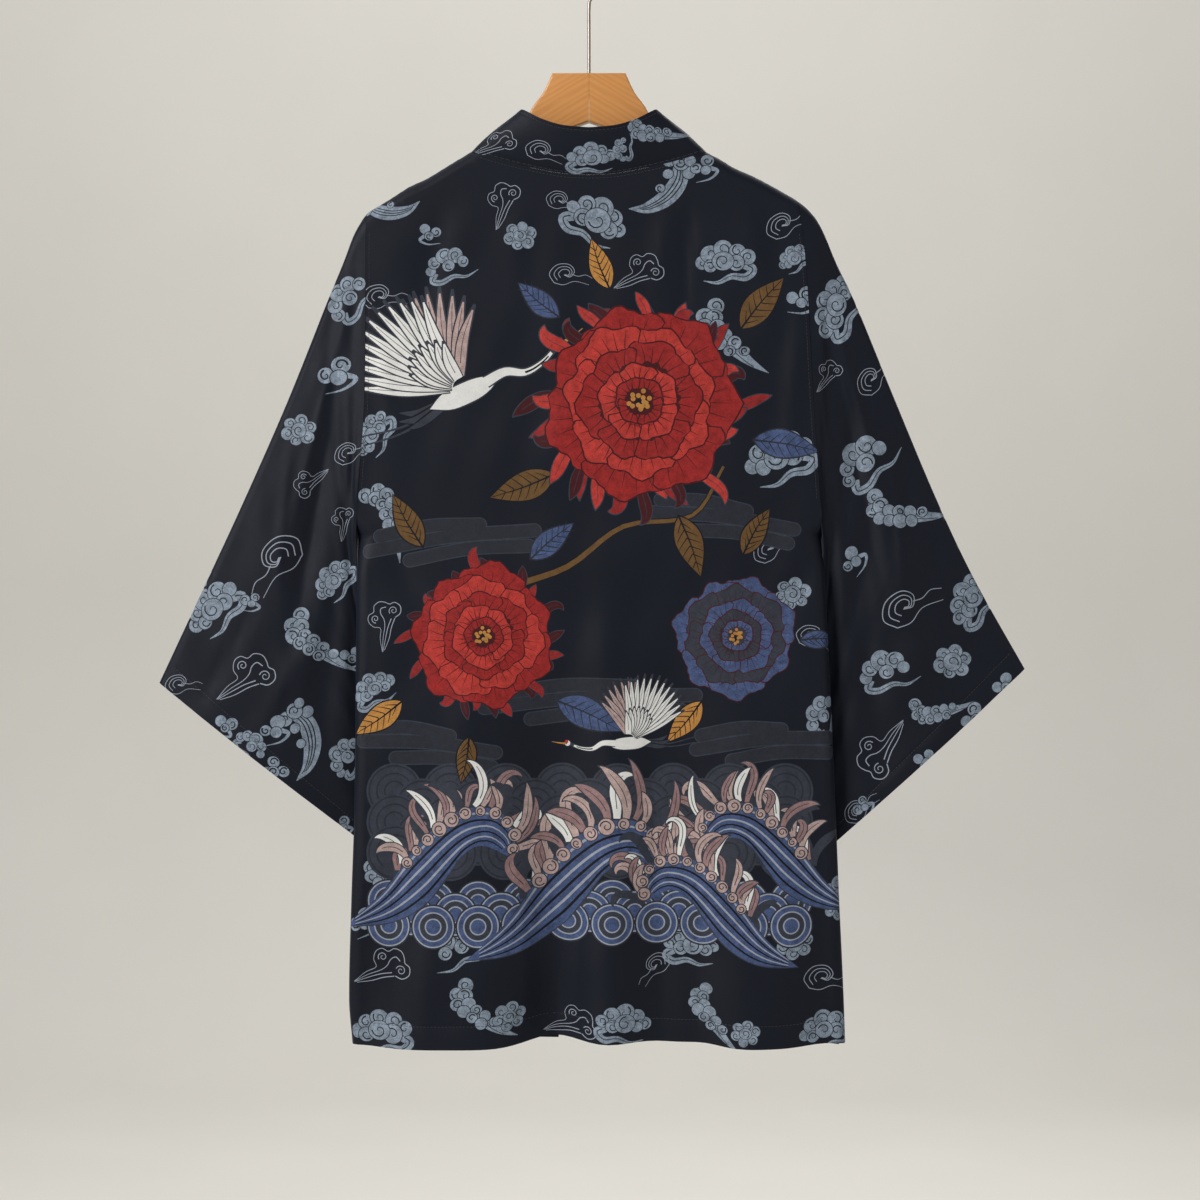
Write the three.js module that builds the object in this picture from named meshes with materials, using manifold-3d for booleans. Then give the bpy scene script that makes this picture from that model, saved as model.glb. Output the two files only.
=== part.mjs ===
// Short kimono hanging on a wooden hanger with a wire hook.
// Millimetres, +Z up. The origin is where the hook's bow rests on a rail. The back of the
// garment faces -Y and its open front faces +Y. Left and right are the wearer's, so left is -X.

import * as THREE from 'three';
import { mergeVertices } from 'three/addons/utils/BufferGeometryUtils.js';
import Module from 'manifold-3d';

// Cloth
const PANEL_WALL = 1.2;
const COLLAR_WALL = 2.4;
const SEAM_GAP = 0.3;
const COLLAR_SEAM_GAP = 0.4;
const COLLAR_WIDTH = 46;
const COLLAR_CROWN = 2;

// Heights
const NECK_SIDE_X = 107;
const UNDERARM_Z = -531;
const HEM_Z = -991;

// The shoulders turn over the hanger's arms, and the cloth turns round under the arm
const SHOULDER_RADIUS = 12;
const UNDERARM_RADIUS = 17;
const UNDERARM_CENTRE_Y = -1;
const SIDE_RADIUS = 9;
const SIDE_TURN = THREE.MathUtils.degToRad(150);
const SIDE_SETTLES = 42;
const SIDE_POCKET = 50;

// Hanger
const HUB_TOP_Z = -114;
const HUB_TOP_HALF_WIDTH = 33;
const HUB_FOOT_X = 54;
const HUB_FOOT_Z = -150.5;
const HUB_NOTCH_Z = -158;
const ARM_TIP_X = 194;
const ARM_THICKNESS = 12;
const ARM_BEVEL = 4;
const ARM_UNDER_COLLAR = 5.8;
const ARM_UNDER_CLOTH = 2.1;
const ARM_UNDER_TIP = 3.8;
const WIRE_RADIUS = 1.5;
const HOOK_INSIDE_RADIUS = 20;
const STEM_HOLE_CLEARANCE = 0.3;
const STEM_DEPTH = 24;

// Top line of the collar and the shoulders, by the distance from the middle of the back
const CREST = [
  { x: 61, left: -150, right: -149.5 },
  { x: 70, left: -156.2, right: -156.5 },
  { x: 80, left: -163.8, right: -164 },
  { x: 89, left: -170.6, right: -171 },
  { x: 107, left: -185, right: -185.5 },
  { x: 119, left: -192.2, right: -191.7 },
  { x: 131, left: -199.6, right: -199.2 },
  { x: 148, left: -209.8, right: -206.6 },
  { x: 162, left: -216, right: -213.8 },
  { x: 175, left: -224.4, right: -221.2 },
  { x: 187, left: -232, right: -228.2 },
  { x: 196, left: -237.2, right: -235.4 },
  { x: 203, left: -242.6, right: -243 },
];

// Side edges of the back, by height
const BACK_EDGE = [
  { z: -230, left: 200.7, right: 188 },
  { z: -280, left: 200.7, right: 194.4 },
  { z: -336, left: 200.8, right: 198 },
  { z: -405, left: 201.6, right: 201.5 },
  { z: -500, left: 207.5, right: 207.6 },
  { z: -590, left: 209.4, right: 213.3 },
  { z: -770, left: 210.6, right: 221.4 },
  { z: -860, left: 213.3, right: 225 },
  { z: -950, left: 215.5, right: 229 },
  { z: -991, left: 212.4, right: 230.4 },
];

// Seam of the collar across the back of the neck
const NECK_SEAM = [
  { x: 0, z: -207.4 },
  { x: 18, z: -206.6 },
  { x: 56, z: -200 },
  { x: 88, z: -192 },
  { x: 100, z: -188 },
  { x: 107, z: -185 },
];

// How far the back and the fronts stand from the hanger's plane, by height
const DEPTH = [
  { z: -253, back: 12, front: 12 },
  { z: -384, back: 15, front: 14 },
  { z: -514, back: 18, front: 16 },
  { z: -700, back: 23, front: 19 },
  { z: -850, back: 29, front: 23 },
  { z: -991, back: 36, front: 28 },
];

// Soft folds of the back. Each runs from its top, where it fades out, to the hem.
// Depth is how far it goes into the body at the hem, and lift how far it raises the hem.
const BACK_FOLDS = [
  { topX: -150, hemX: -206, topZ: -700, depth: 12, width: 30, lift: 3 },
  { topX: -30, hemX: -31, topZ: -560, depth: 36, width: 34, lift: 8 },
  { topX: 84, hemX: 58, topZ: -520, depth: 20, width: 38, lift: 5 },
  { topX: 105, hemX: 103, topZ: -700, depth: 10, width: 22, lift: 3 },
  { topX: 190, hemX: 216, topZ: -640, depth: 14, width: 34, lift: 4 },
];

// Soft folds of the fronts, the same way, with depth towards the back
const FRONT_FOLDS = [
  { topX: -150, hemX: -162, topZ: -430, depth: 8, width: 26, lift: 3 },
  { topX: -104, hemX: -112, topZ: -700, depth: 7, width: 20, lift: 2 },
  { topX: 132, hemX: 128, topZ: -420, depth: 9, width: 28, lift: 3 },
  { topX: 176, hemX: 186, topZ: -640, depth: 7, width: 22, lift: 2 },
];

// Seam between each front and the collar, by height
const FRONT_SEAM = [
  { z: -185, x: 107 },
  { z: -203, x: 103.5 },
  { z: -240, x: 93 },
  { z: -300, x: 83 },
  { z: -400, x: 76 },
  { z: -550, x: 71 },
  { z: -750, x: 70 },
  { z: -991, x: 73 },
];

// Free edge of the collar behind the neck, by the distance of its seam from the middle
const COLLAR_EDGE_BACK = [
  { seamX: 0, x: 0, y: -25, z: -167 },
  { seamX: 30, x: 22, y: -24.5, z: -165 },
  { seamX: 60, x: 43, y: -22.5, z: -158.5 },
  { seamX: 85, x: 56, y: -18, z: -151.2 },
  { seamX: 100, x: 61.5, y: -11, z: -148.4 },
  { seamX: 107, x: 63.5, y: 0, z: -149.2 },
];

// Free edge of the collar from the shoulder down to the chest, by the height of its seam
const COLLAR_EDGE_FRONT = [
  { seamZ: -185, x: 63.5, y: 0, z: -149.2 },
  { seamZ: -189, x: 63, y: 8.5, z: -150.5 },
  { seamZ: -198, x: 61, y: 14.5, z: -158 },
  { seamZ: -225, x: 54, y: 16.5, z: -194 },
  { seamZ: -260, x: 45, y: 17, z: -245 },
  { seamZ: -320, x: 37, y: 16.5, z: -316 },
  { seamZ: -400, x: 31, y: 17, z: -400 },
];

// Outer edge of each sleeve, from the shoulder seam to the cuff
const SLEEVE_OUTER = {
  left: [
    { x: 201, z: -241 },
    { x: 206.1, z: -247.8 },
    { x: 214, z: -262 },
    { x: 222.3, z: -284 },
    { x: 236.7, z: -320 },
    { x: 272.7, z: -410 },
    { x: 312.3, z: -500 },
    { x: 345.6, z: -572 },
    { x: 388.8, z: -664.7 },
  ],
  right: [
    { x: 188.3, z: -229.2 },
    { x: 196.2, z: -235.4 },
    { x: 207, z: -249.8 },
    { x: 222.3, z: -284 },
    { x: 240.3, z: -320 },
    { x: 277.2, z: -410 },
    { x: 315, z: -500 },
    { x: 349.2, z: -572 },
    { x: 394.2, z: -652.1 },
  ],
};

// Inner edge of each sleeve, from the underarm to the cuff: it goes behind the body
const SLEEVE_INNER = {
  left: [
    { x: 208.8, z: -531 },
    { x: 211.2, z: -548 },
    { x: 212, z: -570 },
    { x: 210.5, z: -597 },
    { x: 206.5, z: -645 },
    { x: 203, z: -720 },
    { x: 201.5, z: -775 },
    { x: 203, z: -810.5 },
  ],
  right: [
    { x: 209.9, z: -531 },
    { x: 213.4, z: -548 },
    { x: 215.4, z: -570 },
    { x: 214.6, z: -600 },
    { x: 212.5, z: -650 },
    { x: 211, z: -720 },
    { x: 211.5, z: -780 },
    { x: 213, z: -818 },
  ],
};

// How each sleeve rounds and swells between its two edges, from its seam at 0 to the cuff at 1
const SLEEVE_SECTIONS = [
  { at: 0, outerRadius: 12, innerRadius: 17, swell: 0, outerY: 0, innerY: -1 },
  { at: 0.12, outerRadius: 9, innerRadius: 12.5, swell: 1.5, outerY: 0, innerY: 0.5 },
  { at: 0.3, outerRadius: 5.5, innerRadius: 6, swell: 6, outerY: 0.5, innerY: 3.5 },
  { at: 0.6, outerRadius: 4.5, innerRadius: 4.5, swell: 9, outerY: 1, innerY: 4 },
  { at: 1, outerRadius: 4.5, innerRadius: 4.5, swell: 11, outerY: 1, innerY: 4 },
];

// Soft folds of the sleeves: across is the place between the outer edge at 0 and the inner at 1
const SLEEVE_FOLDS = {
  left: [
    { face: 'back', startAcross: 0.3, endAcross: 0.52, depth: 5, width: 0.13, from: 0.05, to: 0.75 },
    { face: 'back', startAcross: 0.7, endAcross: 0.8, depth: 4, width: 0.1, from: 0.3, to: 1.1 },
    { face: 'front', startAcross: 0.35, endAcross: 0.5, depth: 5, width: 0.14, from: 0.05, to: 0.8 },
    { face: 'front', startAcross: 0.75, endAcross: 0.7, depth: 4, width: 0.1, from: 0.35, to: 1.1 },
  ],
  right: [
    { face: 'back', startAcross: 0.35, endAcross: 0.45, depth: 4, width: 0.14, from: 0.05, to: 0.6 },
    { face: 'back', startAcross: 0.6, endAcross: 0.72, depth: 5, width: 0.12, from: 0.35, to: 1.1 },
    { face: 'front', startAcross: 0.3, endAcross: 0.55, depth: 5, width: 0.14, from: 0.05, to: 0.7 },
    { face: 'front', startAcross: 0.7, endAcross: 0.75, depth: 4, width: 0.1, from: 0.4, to: 1.1 },
  ],
};

// Fineness of the walls
const TURN_STEPS = 4;
const SHOULDER_ROWS = 6;
const BODY_ROWS = [-545, -560, -580, -610, -650, -695, -740, -785, -830, -875, -920, -960];
const LAST_LEVEL_ROW = -785;
const SLEEVE_ROWS = 17;
const SLEEVE_SIDE_STEPS = 9;
const SLEEVE_END_STEPS = 4;
const COLLAR_STEPS = 3;

const SIGN = { left: -1, right: 1 };
const { clamp, lerp, smoothstep } = THREE.MathUtils;

const CLOTH = { color: 0x141720, roughness: 0.72, metalness: 0 };
const WOOD = { color: 0xc98a45, roughness: 0.45, metalness: 0 };
const STEEL = { color: 0x8d8780, roughness: 0.3, metalness: 1 };

// A smooth curve through a table's rows, which never overshoots between two of them
function curveOf(rows, inKey, outKey) {
  const sorted = [...rows].sort((a, b) => a[inKey] - b[inKey]);
  const xs = sorted.map((row) => row[inKey]);
  const ys = sorted.map((row) => row[outKey]);
  const last = xs.length - 1;
  const rise = xs.slice(1).map((x, i) => (ys[i + 1] - ys[i]) / (x - xs[i]));
  const slopes = xs.map((x, i) => {
    if (i === 0 || i === last) return rise[Math.min(i, last - 1)];
    if (rise[i - 1] * rise[i] <= 0) return 0;
    return (2 * rise[i - 1] * rise[i]) / (rise[i - 1] + rise[i]);
  });
  return (x) => {
    if (x <= xs[0]) return ys[0];
    if (x >= xs[last]) return ys[last];
    const i = xs.findIndex((edge) => edge > x) - 1;
    const span = xs[i + 1] - xs[i];
    const t = (x - xs[i]) / span;
    const a = (2 * t - 3) * t * t + 1;
    const b = ((t - 2) * t + 1) * t * span;
    const c = (3 - 2 * t) * t * t;
    const d = (t - 1) * t * t * span;
    return a * ys[i] + b * slopes[i] + c * ys[i + 1] + d * slopes[i + 1];
  };
}

const crestZ = { left: curveOf(CREST, 'x', 'left'), right: curveOf(CREST, 'x', 'right') };
const edgeX = { left: curveOf(BACK_EDGE, 'z', 'left'), right: curveOf(BACK_EDGE, 'z', 'right') };
const neckZ = curveOf(NECK_SEAM, 'x', 'z');
const backDepth = curveOf(DEPTH, 'z', 'back');
const frontDepth = curveOf(DEPTH, 'z', 'front');
const frontSeamX = curveOf(FRONT_SEAM, 'z', 'x');

// Sum of the folds at a place of a body panel, for their depth or for the hem's lift
function foldSum(folds, key, x, z) {
  let sum = 0;
  for (const fold of folds) {
    const down = clamp((fold.topZ - z) / (fold.topZ - HEM_Z), 0, 1);
    const middle = lerp(fold.topX, fold.hemX, down);
    const aside = (x - middle) / fold.width;
    sum += fold[key] * down ** 1.4 * Math.exp(-aside * aside);
  }
  return sum;
}

// How far the cloth has come out from the hanger's plane where it turns over the shoulder
function shoulderTurn(side, x, z) {
  const drop = clamp(crestZ[side](x) - z, 0, SHOULDER_RADIUS);
  const turn = Math.sqrt(SHOULDER_RADIUS ** 2 - (SHOULDER_RADIUS - drop) ** 2);
  return Math.max(turn / SHOULDER_RADIUS, 0);
}

// Outer face of the back and of the fronts away from the side seams, x counted from the middle
function backY(side, x, z) {
  const reach = (backDepth(z) - SEAM_GAP / 2) * shoulderTurn(side, x, z) + SEAM_GAP / 2;
  return foldSum(BACK_FOLDS, 'depth', SIGN[side] * x, z) - reach;
}

function frontY(side, x, z) {
  const reach = (frontDepth(z) - SEAM_GAP / 2) * shoulderTurn(side, x, z) + SEAM_GAP / 2;
  return reach - foldSum(FRONT_FOLDS, 'depth', SIGN[side] * x, z);
}

// The turn of the cloth at its side: flat down to the underarm, round under it, and below
// that a small roll forward with the side seam on its inner side
function sideTurn(side, z) {
  const edge = edgeX[side](z);
  const start = UNDERARM_Z + UNDERARM_RADIUS;
  if (z > start) return { edge, radius: UNDERARM_RADIUS, angle: 0, settled: 0 };
  if (z > UNDERARM_Z) {
    const angle = Math.asin((start - z) / UNDERARM_RADIUS);
    return { edge, radius: UNDERARM_RADIUS, angle, settled: 0 };
  }
  const settled = smoothstep(UNDERARM_Z - z, 0, SIDE_SETTLES);
  const angle = lerp(Math.PI / 2, SIDE_TURN, settled);
  return { edge, radius: lerp(UNDERARM_RADIUS, SIDE_RADIUS, settled), angle, settled };
}

// A point of the back's section at height z, share 0 in the middle and 1 at the side
function backSection(side, share, z) {
  const { edge, radius, angle } = sideTurn(side, z);
  const flat = edge - radius * Math.sin(Math.min(angle, Math.PI / 2));
  const along = share * (flat + radius * angle);
  if (along <= flat || angle === 0) return { x: along, y: backY(side, along, z) };
  const turned = (along - flat) / radius;
  const x = flat + radius * Math.sin(turned);
  return { x, y: backY(side, flat, z) + radius * (1 - Math.cos(turned)) };
}

// The front's roll from the side seam to its flat part, as a curve of four points
function frontRoll(side, z) {
  const { edge, radius, angle, settled } = sideTurn(side, z);
  if (angle === 0) return null;
  const above = angle < Math.PI / 2;
  const heading = above ? Math.PI - angle : angle;
  const reach = above ? radius * Math.sin(angle) : lerp(UNDERARM_RADIUS, SIDE_POCKET, settled);
  const handle = (4 / 3) * Math.tan(Math.min(angle, Math.PI / 2) / 4) * UNDERARM_RADIUS;
  const near = lerp(handle, 12, settled);
  const far = lerp(handle, 24, settled);
  const endX = edge - reach;
  const endY = frontY(side, endX, z);
  const seam = backSection(side, 1, z);
  const startX = above ? edge : seam.x + SEAM_GAP * Math.cos(angle);
  const startY = above
    ? UNDERARM_CENTRE_Y + UNDERARM_RADIUS * Math.cos(angle)
    : seam.y + SEAM_GAP * Math.sin(angle);
  return new THREE.CubicBezierCurve(
    new THREE.Vector2(startX, startY),
    new THREE.Vector2(startX + near * Math.cos(heading), startY + near * Math.sin(heading)),
    new THREE.Vector2(endX + far, endY),
    new THREE.Vector2(endX, endY),
  );
}

// A point of the front's section at height z, share 0 at the side and 1 at the collar's seam
function frontSection(side, share, z) {
  const roll = frontRoll(side, z);
  const rollLength = roll ? roll.getLength() : 0;
  const flatStart = roll ? roll.v3.x : sideTurn(side, z).edge;
  const flatLength = flatStart - frontSeamX(z);
  const along = share * (rollLength + flatLength);
  if (roll && along < rollLength) {
    const { x, y } = roll.getPointAt(along / rollLength);
    return { x, y };
  }
  const x = flatStart - (along - rollLength);
  return { x, y: frontY(side, x, z) };
}

// Heights of the rows down a panel column that starts at topZ. The row number can be a
// fraction: the first rows turn over the shoulder, and the next ones end above the underarm.
function rowZ(row, topZ, lift) {
  const turnRows = TURN_STEPS;
  const underarmStart = turnRows + SHOULDER_ROWS;
  const bodyStart = underarmStart + TURN_STEPS;
  const turnEnd = topZ - SHOULDER_RADIUS;
  const roundStart = UNDERARM_Z + UNDERARM_RADIUS;
  if (row <= turnRows) {
    return topZ - SHOULDER_RADIUS * (1 - Math.cos((Math.PI / 2) * (row / turnRows)));
  }
  if (row <= underarmStart) return lerp(turnEnd, roundStart, (row - turnRows) / SHOULDER_ROWS);
  if (row <= bodyStart) {
    const angle = (Math.PI / 2) * ((row - underarmStart) / TURN_STEPS);
    return roundStart - UNDERARM_RADIUS * Math.sin(angle);
  }
  const levels = [UNDERARM_Z, ...BODY_ROWS, HEM_Z];
  const place = clamp(row - bodyStart, 0, levels.length - 1);
  const index = Math.min(Math.floor(place), levels.length - 2);
  const level = lerp(levels[index], levels[index + 1], place - index);
  return level + lift * clamp((LAST_LEVEL_ROW - level) / (LAST_LEVEL_ROW - HEM_Z), 0, 1);
}

const UNDERARM_ROW = TURN_STEPS + SHOULDER_ROWS + TURN_STEPS;
const ROW_COUNT = TURN_STEPS + SHOULDER_ROWS + TURN_STEPS + BODY_ROWS.length + 2;
const ROWS = Array.from({ length: ROW_COUNT }, (unused, index) => index);

// Shares across half of the back, from the middle to the side, with one at the neck's corner
function backShares(side) {
  const width = edgeX[side](0);
  const neck = [0, 15, 30, 45, 60, 74, 86, 95, 101.5, NECK_SIDE_X];
  const outer = [0.14, 0.28, 0.42, 0.55, 0.67, 0.77, 0.85, 0.9, 0.945, 0.975, 1];
  const neckShares = neck.map((x) => x / width);
  const neckShare = NECK_SIDE_X / width;
  return [...neckShares, ...outer.map((share) => lerp(neckShare, 1, share))];
}

const FRONT_SHARES = [0, 0.035, 0.07, 0.11, 0.16, 0.22, 0.3, 0.4, 0.5, 0.6, 0.7, 0.8, 0.9, 1];

// A point of the back: share from -1 at the left side to 1 at the right side
function backPoint(share, row) {
  const side = share < 0 ? 'left' : 'right';
  const across = Math.min(Math.abs(share), 1);
  const topX = across * edgeX[side](0);
  const topZ = topX < NECK_SIDE_X ? neckZ(topX) : crestZ[side](topX);
  const hemX = SIGN[side] * across * edgeX[side](HEM_Z);
  const z = rowZ(row, topZ, foldSum(BACK_FOLDS, 'lift', hemX, HEM_Z));
  const { x, y } = backSection(side, across, z);
  return new THREE.Vector3(SIGN[side] * x, y, z);
}

// A point of one front: share 0 at the side and 1 at the collar's seam
function frontPoint(side, share, row) {
  const topX = lerp(edgeX[side](0), NECK_SIDE_X, share);
  const hemX = SIGN[side] * lerp(edgeX[side](HEM_Z), frontSeamX(HEM_Z), share);
  const z = rowZ(row, crestZ[side](topX), foldSum(FRONT_FOLDS, 'lift', hemX, HEM_Z));
  const { x, y } = frontSection(side, share, z);
  return new THREE.Vector3(SIGN[side] * x, y, z);
}

// Points along one edge of a sleeve, at the share t of its length
function edgeLine(rows) {
  const points = rows.map((row) => new THREE.Vector3(row.x, 0, row.z));
  return new THREE.CatmullRomCurve3(points, false, 'centripetal');
}

function sleeveFold(side, face, across, t) {
  let sum = 0;
  for (const fold of SLEEVE_FOLDS[side]) {
    if (fold.face !== face) continue;
    const down = clamp((t - fold.from) / (fold.to - fold.from), 0, 1);
    const middle = lerp(fold.startAcross, fold.endAcross, down);
    const aside = (across - middle) / fold.width;
    sum += fold.depth * Math.sin(Math.PI * down) * Math.exp(-aside * aside);
  }
  return sum;
}

// A point of a sleeve: t from the seam to the cuff, and turn round the tube, from the outer
// edge through the front face to the inner edge and back through the back face
function sleevePointMaker(side) {
  const outerLine = edgeLine(SLEEVE_OUTER[side]);
  const innerLine = edgeLine(SLEEVE_INNER[side]);
  const section = {};
  for (const key of ['outerRadius', 'innerRadius', 'swell', 'outerY', 'innerY']) {
    section[key] = curveOf(SLEEVE_SECTIONS, 'at', key);
  }
  const faceSteps = SLEEVE_SIDE_STEPS;
  const endSteps = 2 * SLEEVE_END_STEPS;
  const cycle = 2 * (faceSteps + endSteps);
  return (turn, t) => {
    const outer = outerLine.getPointAt(clamp(t, 0, 1));
    const inner = innerLine.getPointAt(clamp(t, 0, 1));
    const width = outer.distanceTo(inner);
    const down = inner.clone().sub(outer).divideScalar(width);
    const outerRadius = section.outerRadius(t);
    const innerRadius = section.innerRadius(t);
    const place = ((turn % cycle) + cycle) % cycle;
    let along;
    let bulge;
    if (place < endSteps) {
      const angle = Math.PI * (place / endSteps - 0.5);
      along = outerRadius * (1 - Math.cos(angle));
      bulge = outerRadius * Math.sin(angle);
    } else if (place >= endSteps + faceSteps && place < 2 * endSteps + faceSteps) {
      const angle = Math.PI * ((place - endSteps - faceSteps) / endSteps - 0.5);
      along = width - innerRadius * (1 - Math.cos(angle));
      bulge = -innerRadius * Math.sin(angle);
    } else {
      const face = place < endSteps + faceSteps ? 'front' : 'back';
      const step = face === 'front' ? place - endSteps : cycle - place;
      const across = step / faceSteps;
      along = lerp(outerRadius, width - innerRadius, across);
      const round = lerp(outerRadius, innerRadius, across);
      const swell = section.swell(t) * Math.sin(Math.PI * across);
      bulge = round + swell - sleeveFold(side, face, across, t) * Math.sin(Math.PI * across);
      if (face === 'back') bulge = -bulge;
    }
    const point = outer.clone().addScaledVector(down, along);
    const middleY = lerp(section.outerY(t), section.innerY(t), along / width);
    const bow = seamBow(side, point.z) * (1 - smoothstep(t, 0, 0.2));
    return new THREE.Vector3(SIGN[side] * (point.x + bow), middleY + bulge, point.z);
  };
}

// How far the armhole seam bows out of the straight line from the shoulder to the underarm
function seamBow(side, z) {
  const shoulder = SLEEVE_OUTER[side][0];
  const underarm = SLEEVE_INNER[side][0];
  const share = clamp((shoulder.z - z) / (shoulder.z - underarm.z), 0, 1);
  return edgeX[side](z) + SEAM_GAP - lerp(shoulder.x, underarm.x, share);
}

// Normal of a surface at a place, worked out from two small steps across it
function normalAt(pointAt, u, v, uRange, vRange) {
  const step = 0.001;
  const before = pointAt(Math.max(u - step, uRange[0]), v);
  const after = pointAt(Math.min(u + step, uRange[1]), v);
  const above = pointAt(u, Math.max(v - step, vRange[0]));
  const below = pointAt(u, Math.min(v + step, vRange[1]));
  return after.sub(before).cross(below.sub(above)).normalize();
}

// A closed wall between a grid of outer points and the same grid moved in by the thickness.
// A ring closes on itself along its columns, and a strip has a rim on all four sides.
function wallGeometry(outer, inner, isRing) {
  const rows = outer.length;
  const columns = outer[0].length;
  const positions = [...outer.flat(), ...inner.flat()].flatMap((point) => point.toArray());
  const index = [];
  const outerAt = (row, column) => row * columns + (column % columns);
  const innerAt = (row, column) => rows * columns + outerAt(row, column);
  const quad = (a, b, c, d) => index.push(a, b, c, a, c, d);
  const columnQuads = isRing ? columns : columns - 1;
  for (let row = 0; row < rows - 1; row += 1) {
    for (let column = 0; column < columnQuads; column += 1) {
      const next = column + 1;
      quad(outerAt(row, column), outerAt(row + 1, column), outerAt(row + 1, next), outerAt(row, next));
      quad(innerAt(row, column), innerAt(row, next), innerAt(row + 1, next), innerAt(row + 1, column));
    }
  }
  for (let column = 0; column < columnQuads; column += 1) {
    const next = column + 1;
    const end = rows - 1;
    quad(outerAt(0, column), outerAt(0, next), innerAt(0, next), innerAt(0, column));
    quad(outerAt(end, column), innerAt(end, column), innerAt(end, next), outerAt(end, next));
  }
  for (let row = 0; row < rows - 1 && !isRing; row += 1) {
    const next = row + 1;
    const end = columns - 1;
    quad(outerAt(row, 0), innerAt(row, 0), innerAt(next, 0), outerAt(next, 0));
    quad(outerAt(row, end), outerAt(next, end), innerAt(next, end), innerAt(row, end));
  }
  const geometry = new THREE.BufferGeometry();
  geometry.setAttribute('position', new THREE.Float32BufferAttribute(positions, 3));
  geometry.setIndex(index);
  return facesOut(geometry);
}

// Turns every face over when the faces of a closed surface point inwards
function facesOut(geometry) {
  const position = geometry.getAttribute('position');
  const index = geometry.getIndex().array;
  const corners = [new THREE.Vector3(), new THREE.Vector3(), new THREE.Vector3()];
  let volume = 0;
  for (let i = 0; i < index.length; i += 3) {
    corners.forEach((corner, k) => corner.fromBufferAttribute(position, index[i + k]));
    volume += corners[0].dot(corners[1].clone().cross(corners[2]));
  }
  if (volume < 0) {
    for (let i = 0; i < index.length; i += 3) {
      [index[i + 1], index[i + 2]] = [index[i + 2], index[i + 1]];
    }
  }
  geometry.computeVertexNormals();
  return geometry;
}

// A cloth wall from a surface. Outward is 1 or -1, the way the surface's normal has to be
// turned. Where the cloth ends in the plane of an armhole, its rim stays in that plane.
function clothWall({ pointAt, columns, rows, outward, isArmhole, isRing = false }) {
  const columnRange = isRing ? [-Infinity, Infinity] : [columns[0], columns.at(-1)];
  const rowRange = [rows[0], rows.at(-1)];
  const outer = rows.map((row) => columns.map((column) => pointAt(column, row)));
  const inner = rows.map((row, i) => columns.map((column, j) => {
    const normal = normalAt(pointAt, column, row, columnRange, rowRange);
    if (isArmhole(column, row)) {
      normal.x = 0;
      normal.divideScalar(Math.max(normal.lengthSq(), 0.4));
    }
    return outer[i][j].clone().addScaledVector(normal, -outward * PANEL_WALL);
  }));
  return wallGeometry(outer, inner, isRing);
}

function backGeometry() {
  const left = backShares('left').slice(1).reverse().map((share) => -share);
  return clothWall({
    pointAt: backPoint,
    columns: [...left, ...backShares('right')],
    rows: ROWS,
    outward: -1,
    isArmhole: (share, row) => Math.abs(share) === 1 && row <= UNDERARM_ROW,
  });
}

function frontGeometry(side) {
  return clothWall({
    pointAt: (share, row) => frontPoint(side, share, row),
    columns: FRONT_SHARES,
    rows: ROWS,
    outward: -SIGN[side],
    isArmhole: (share, row) => share === 0 && row <= UNDERARM_ROW,
  });
}

function sleeveGeometry(side) {
  const turns = Array.from(
    { length: 2 * (SLEEVE_SIDE_STEPS + 2 * SLEEVE_END_STEPS) },
    (unused, index) => index,
  );
  const rows = Array.from({ length: SLEEVE_ROWS }, (unused, index) => index / (SLEEVE_ROWS - 1));
  return clothWall({
    pointAt: sleevePointMaker(side),
    columns: turns,
    rows: rows.map((t) => lerp(t * t, t, 0.6)),
    outward: -SIGN[side],
    isArmhole: (turn, t) => t === 0,
    isRing: true,
  });
}

// Seam line of the collar on one side, from the middle of the neck to the front hem, as pairs
// of a point on the seam and the point across the band on its free edge
function collarStations(side) {
  const sign = SIGN[side];
  const backCurve = {};
  const frontCurve = {};
  for (const key of ['x', 'y', 'z']) {
    backCurve[key] = curveOf(COLLAR_EDGE_BACK, 'seamX', key);
    frontCurve[key] = curveOf(COLLAR_EDGE_FRONT, 'seamZ', key);
  }
  const lastFree = COLLAR_EDGE_FRONT.at(-1);
  const behind = backShares(side)
    .map((share) => ({ share, x: share * edgeX[side](0) }))
    .filter(({ x }) => x < NECK_SIDE_X - 1)
    .map(({ share, x }) => ({
      seam: backPoint(sign * share, 0),
      edge: new THREE.Vector3(sign * backCurve.x(x), backCurve.y(x), backCurve.z(x)),
    }));
  const ahead = ROWS.map((row) => {
    const seam = frontPoint(side, 1, row);
    if (row === 0) seam.y = 0;
    const { z } = seam;
    const isStraight = z < lastFree.seamZ;
    const straightX = sign * (frontSeamX(z) - COLLAR_WIDTH + 1);
    const edge = isStraight
      ? new THREE.Vector3(straightX, frontDepth(z) + 3, z)
      : new THREE.Vector3(sign * frontCurve.x(z), frontCurve.y(z), frontCurve.z(z));
    return { seam, edge };
  });
  return [...behind, ...ahead];
}

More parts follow.
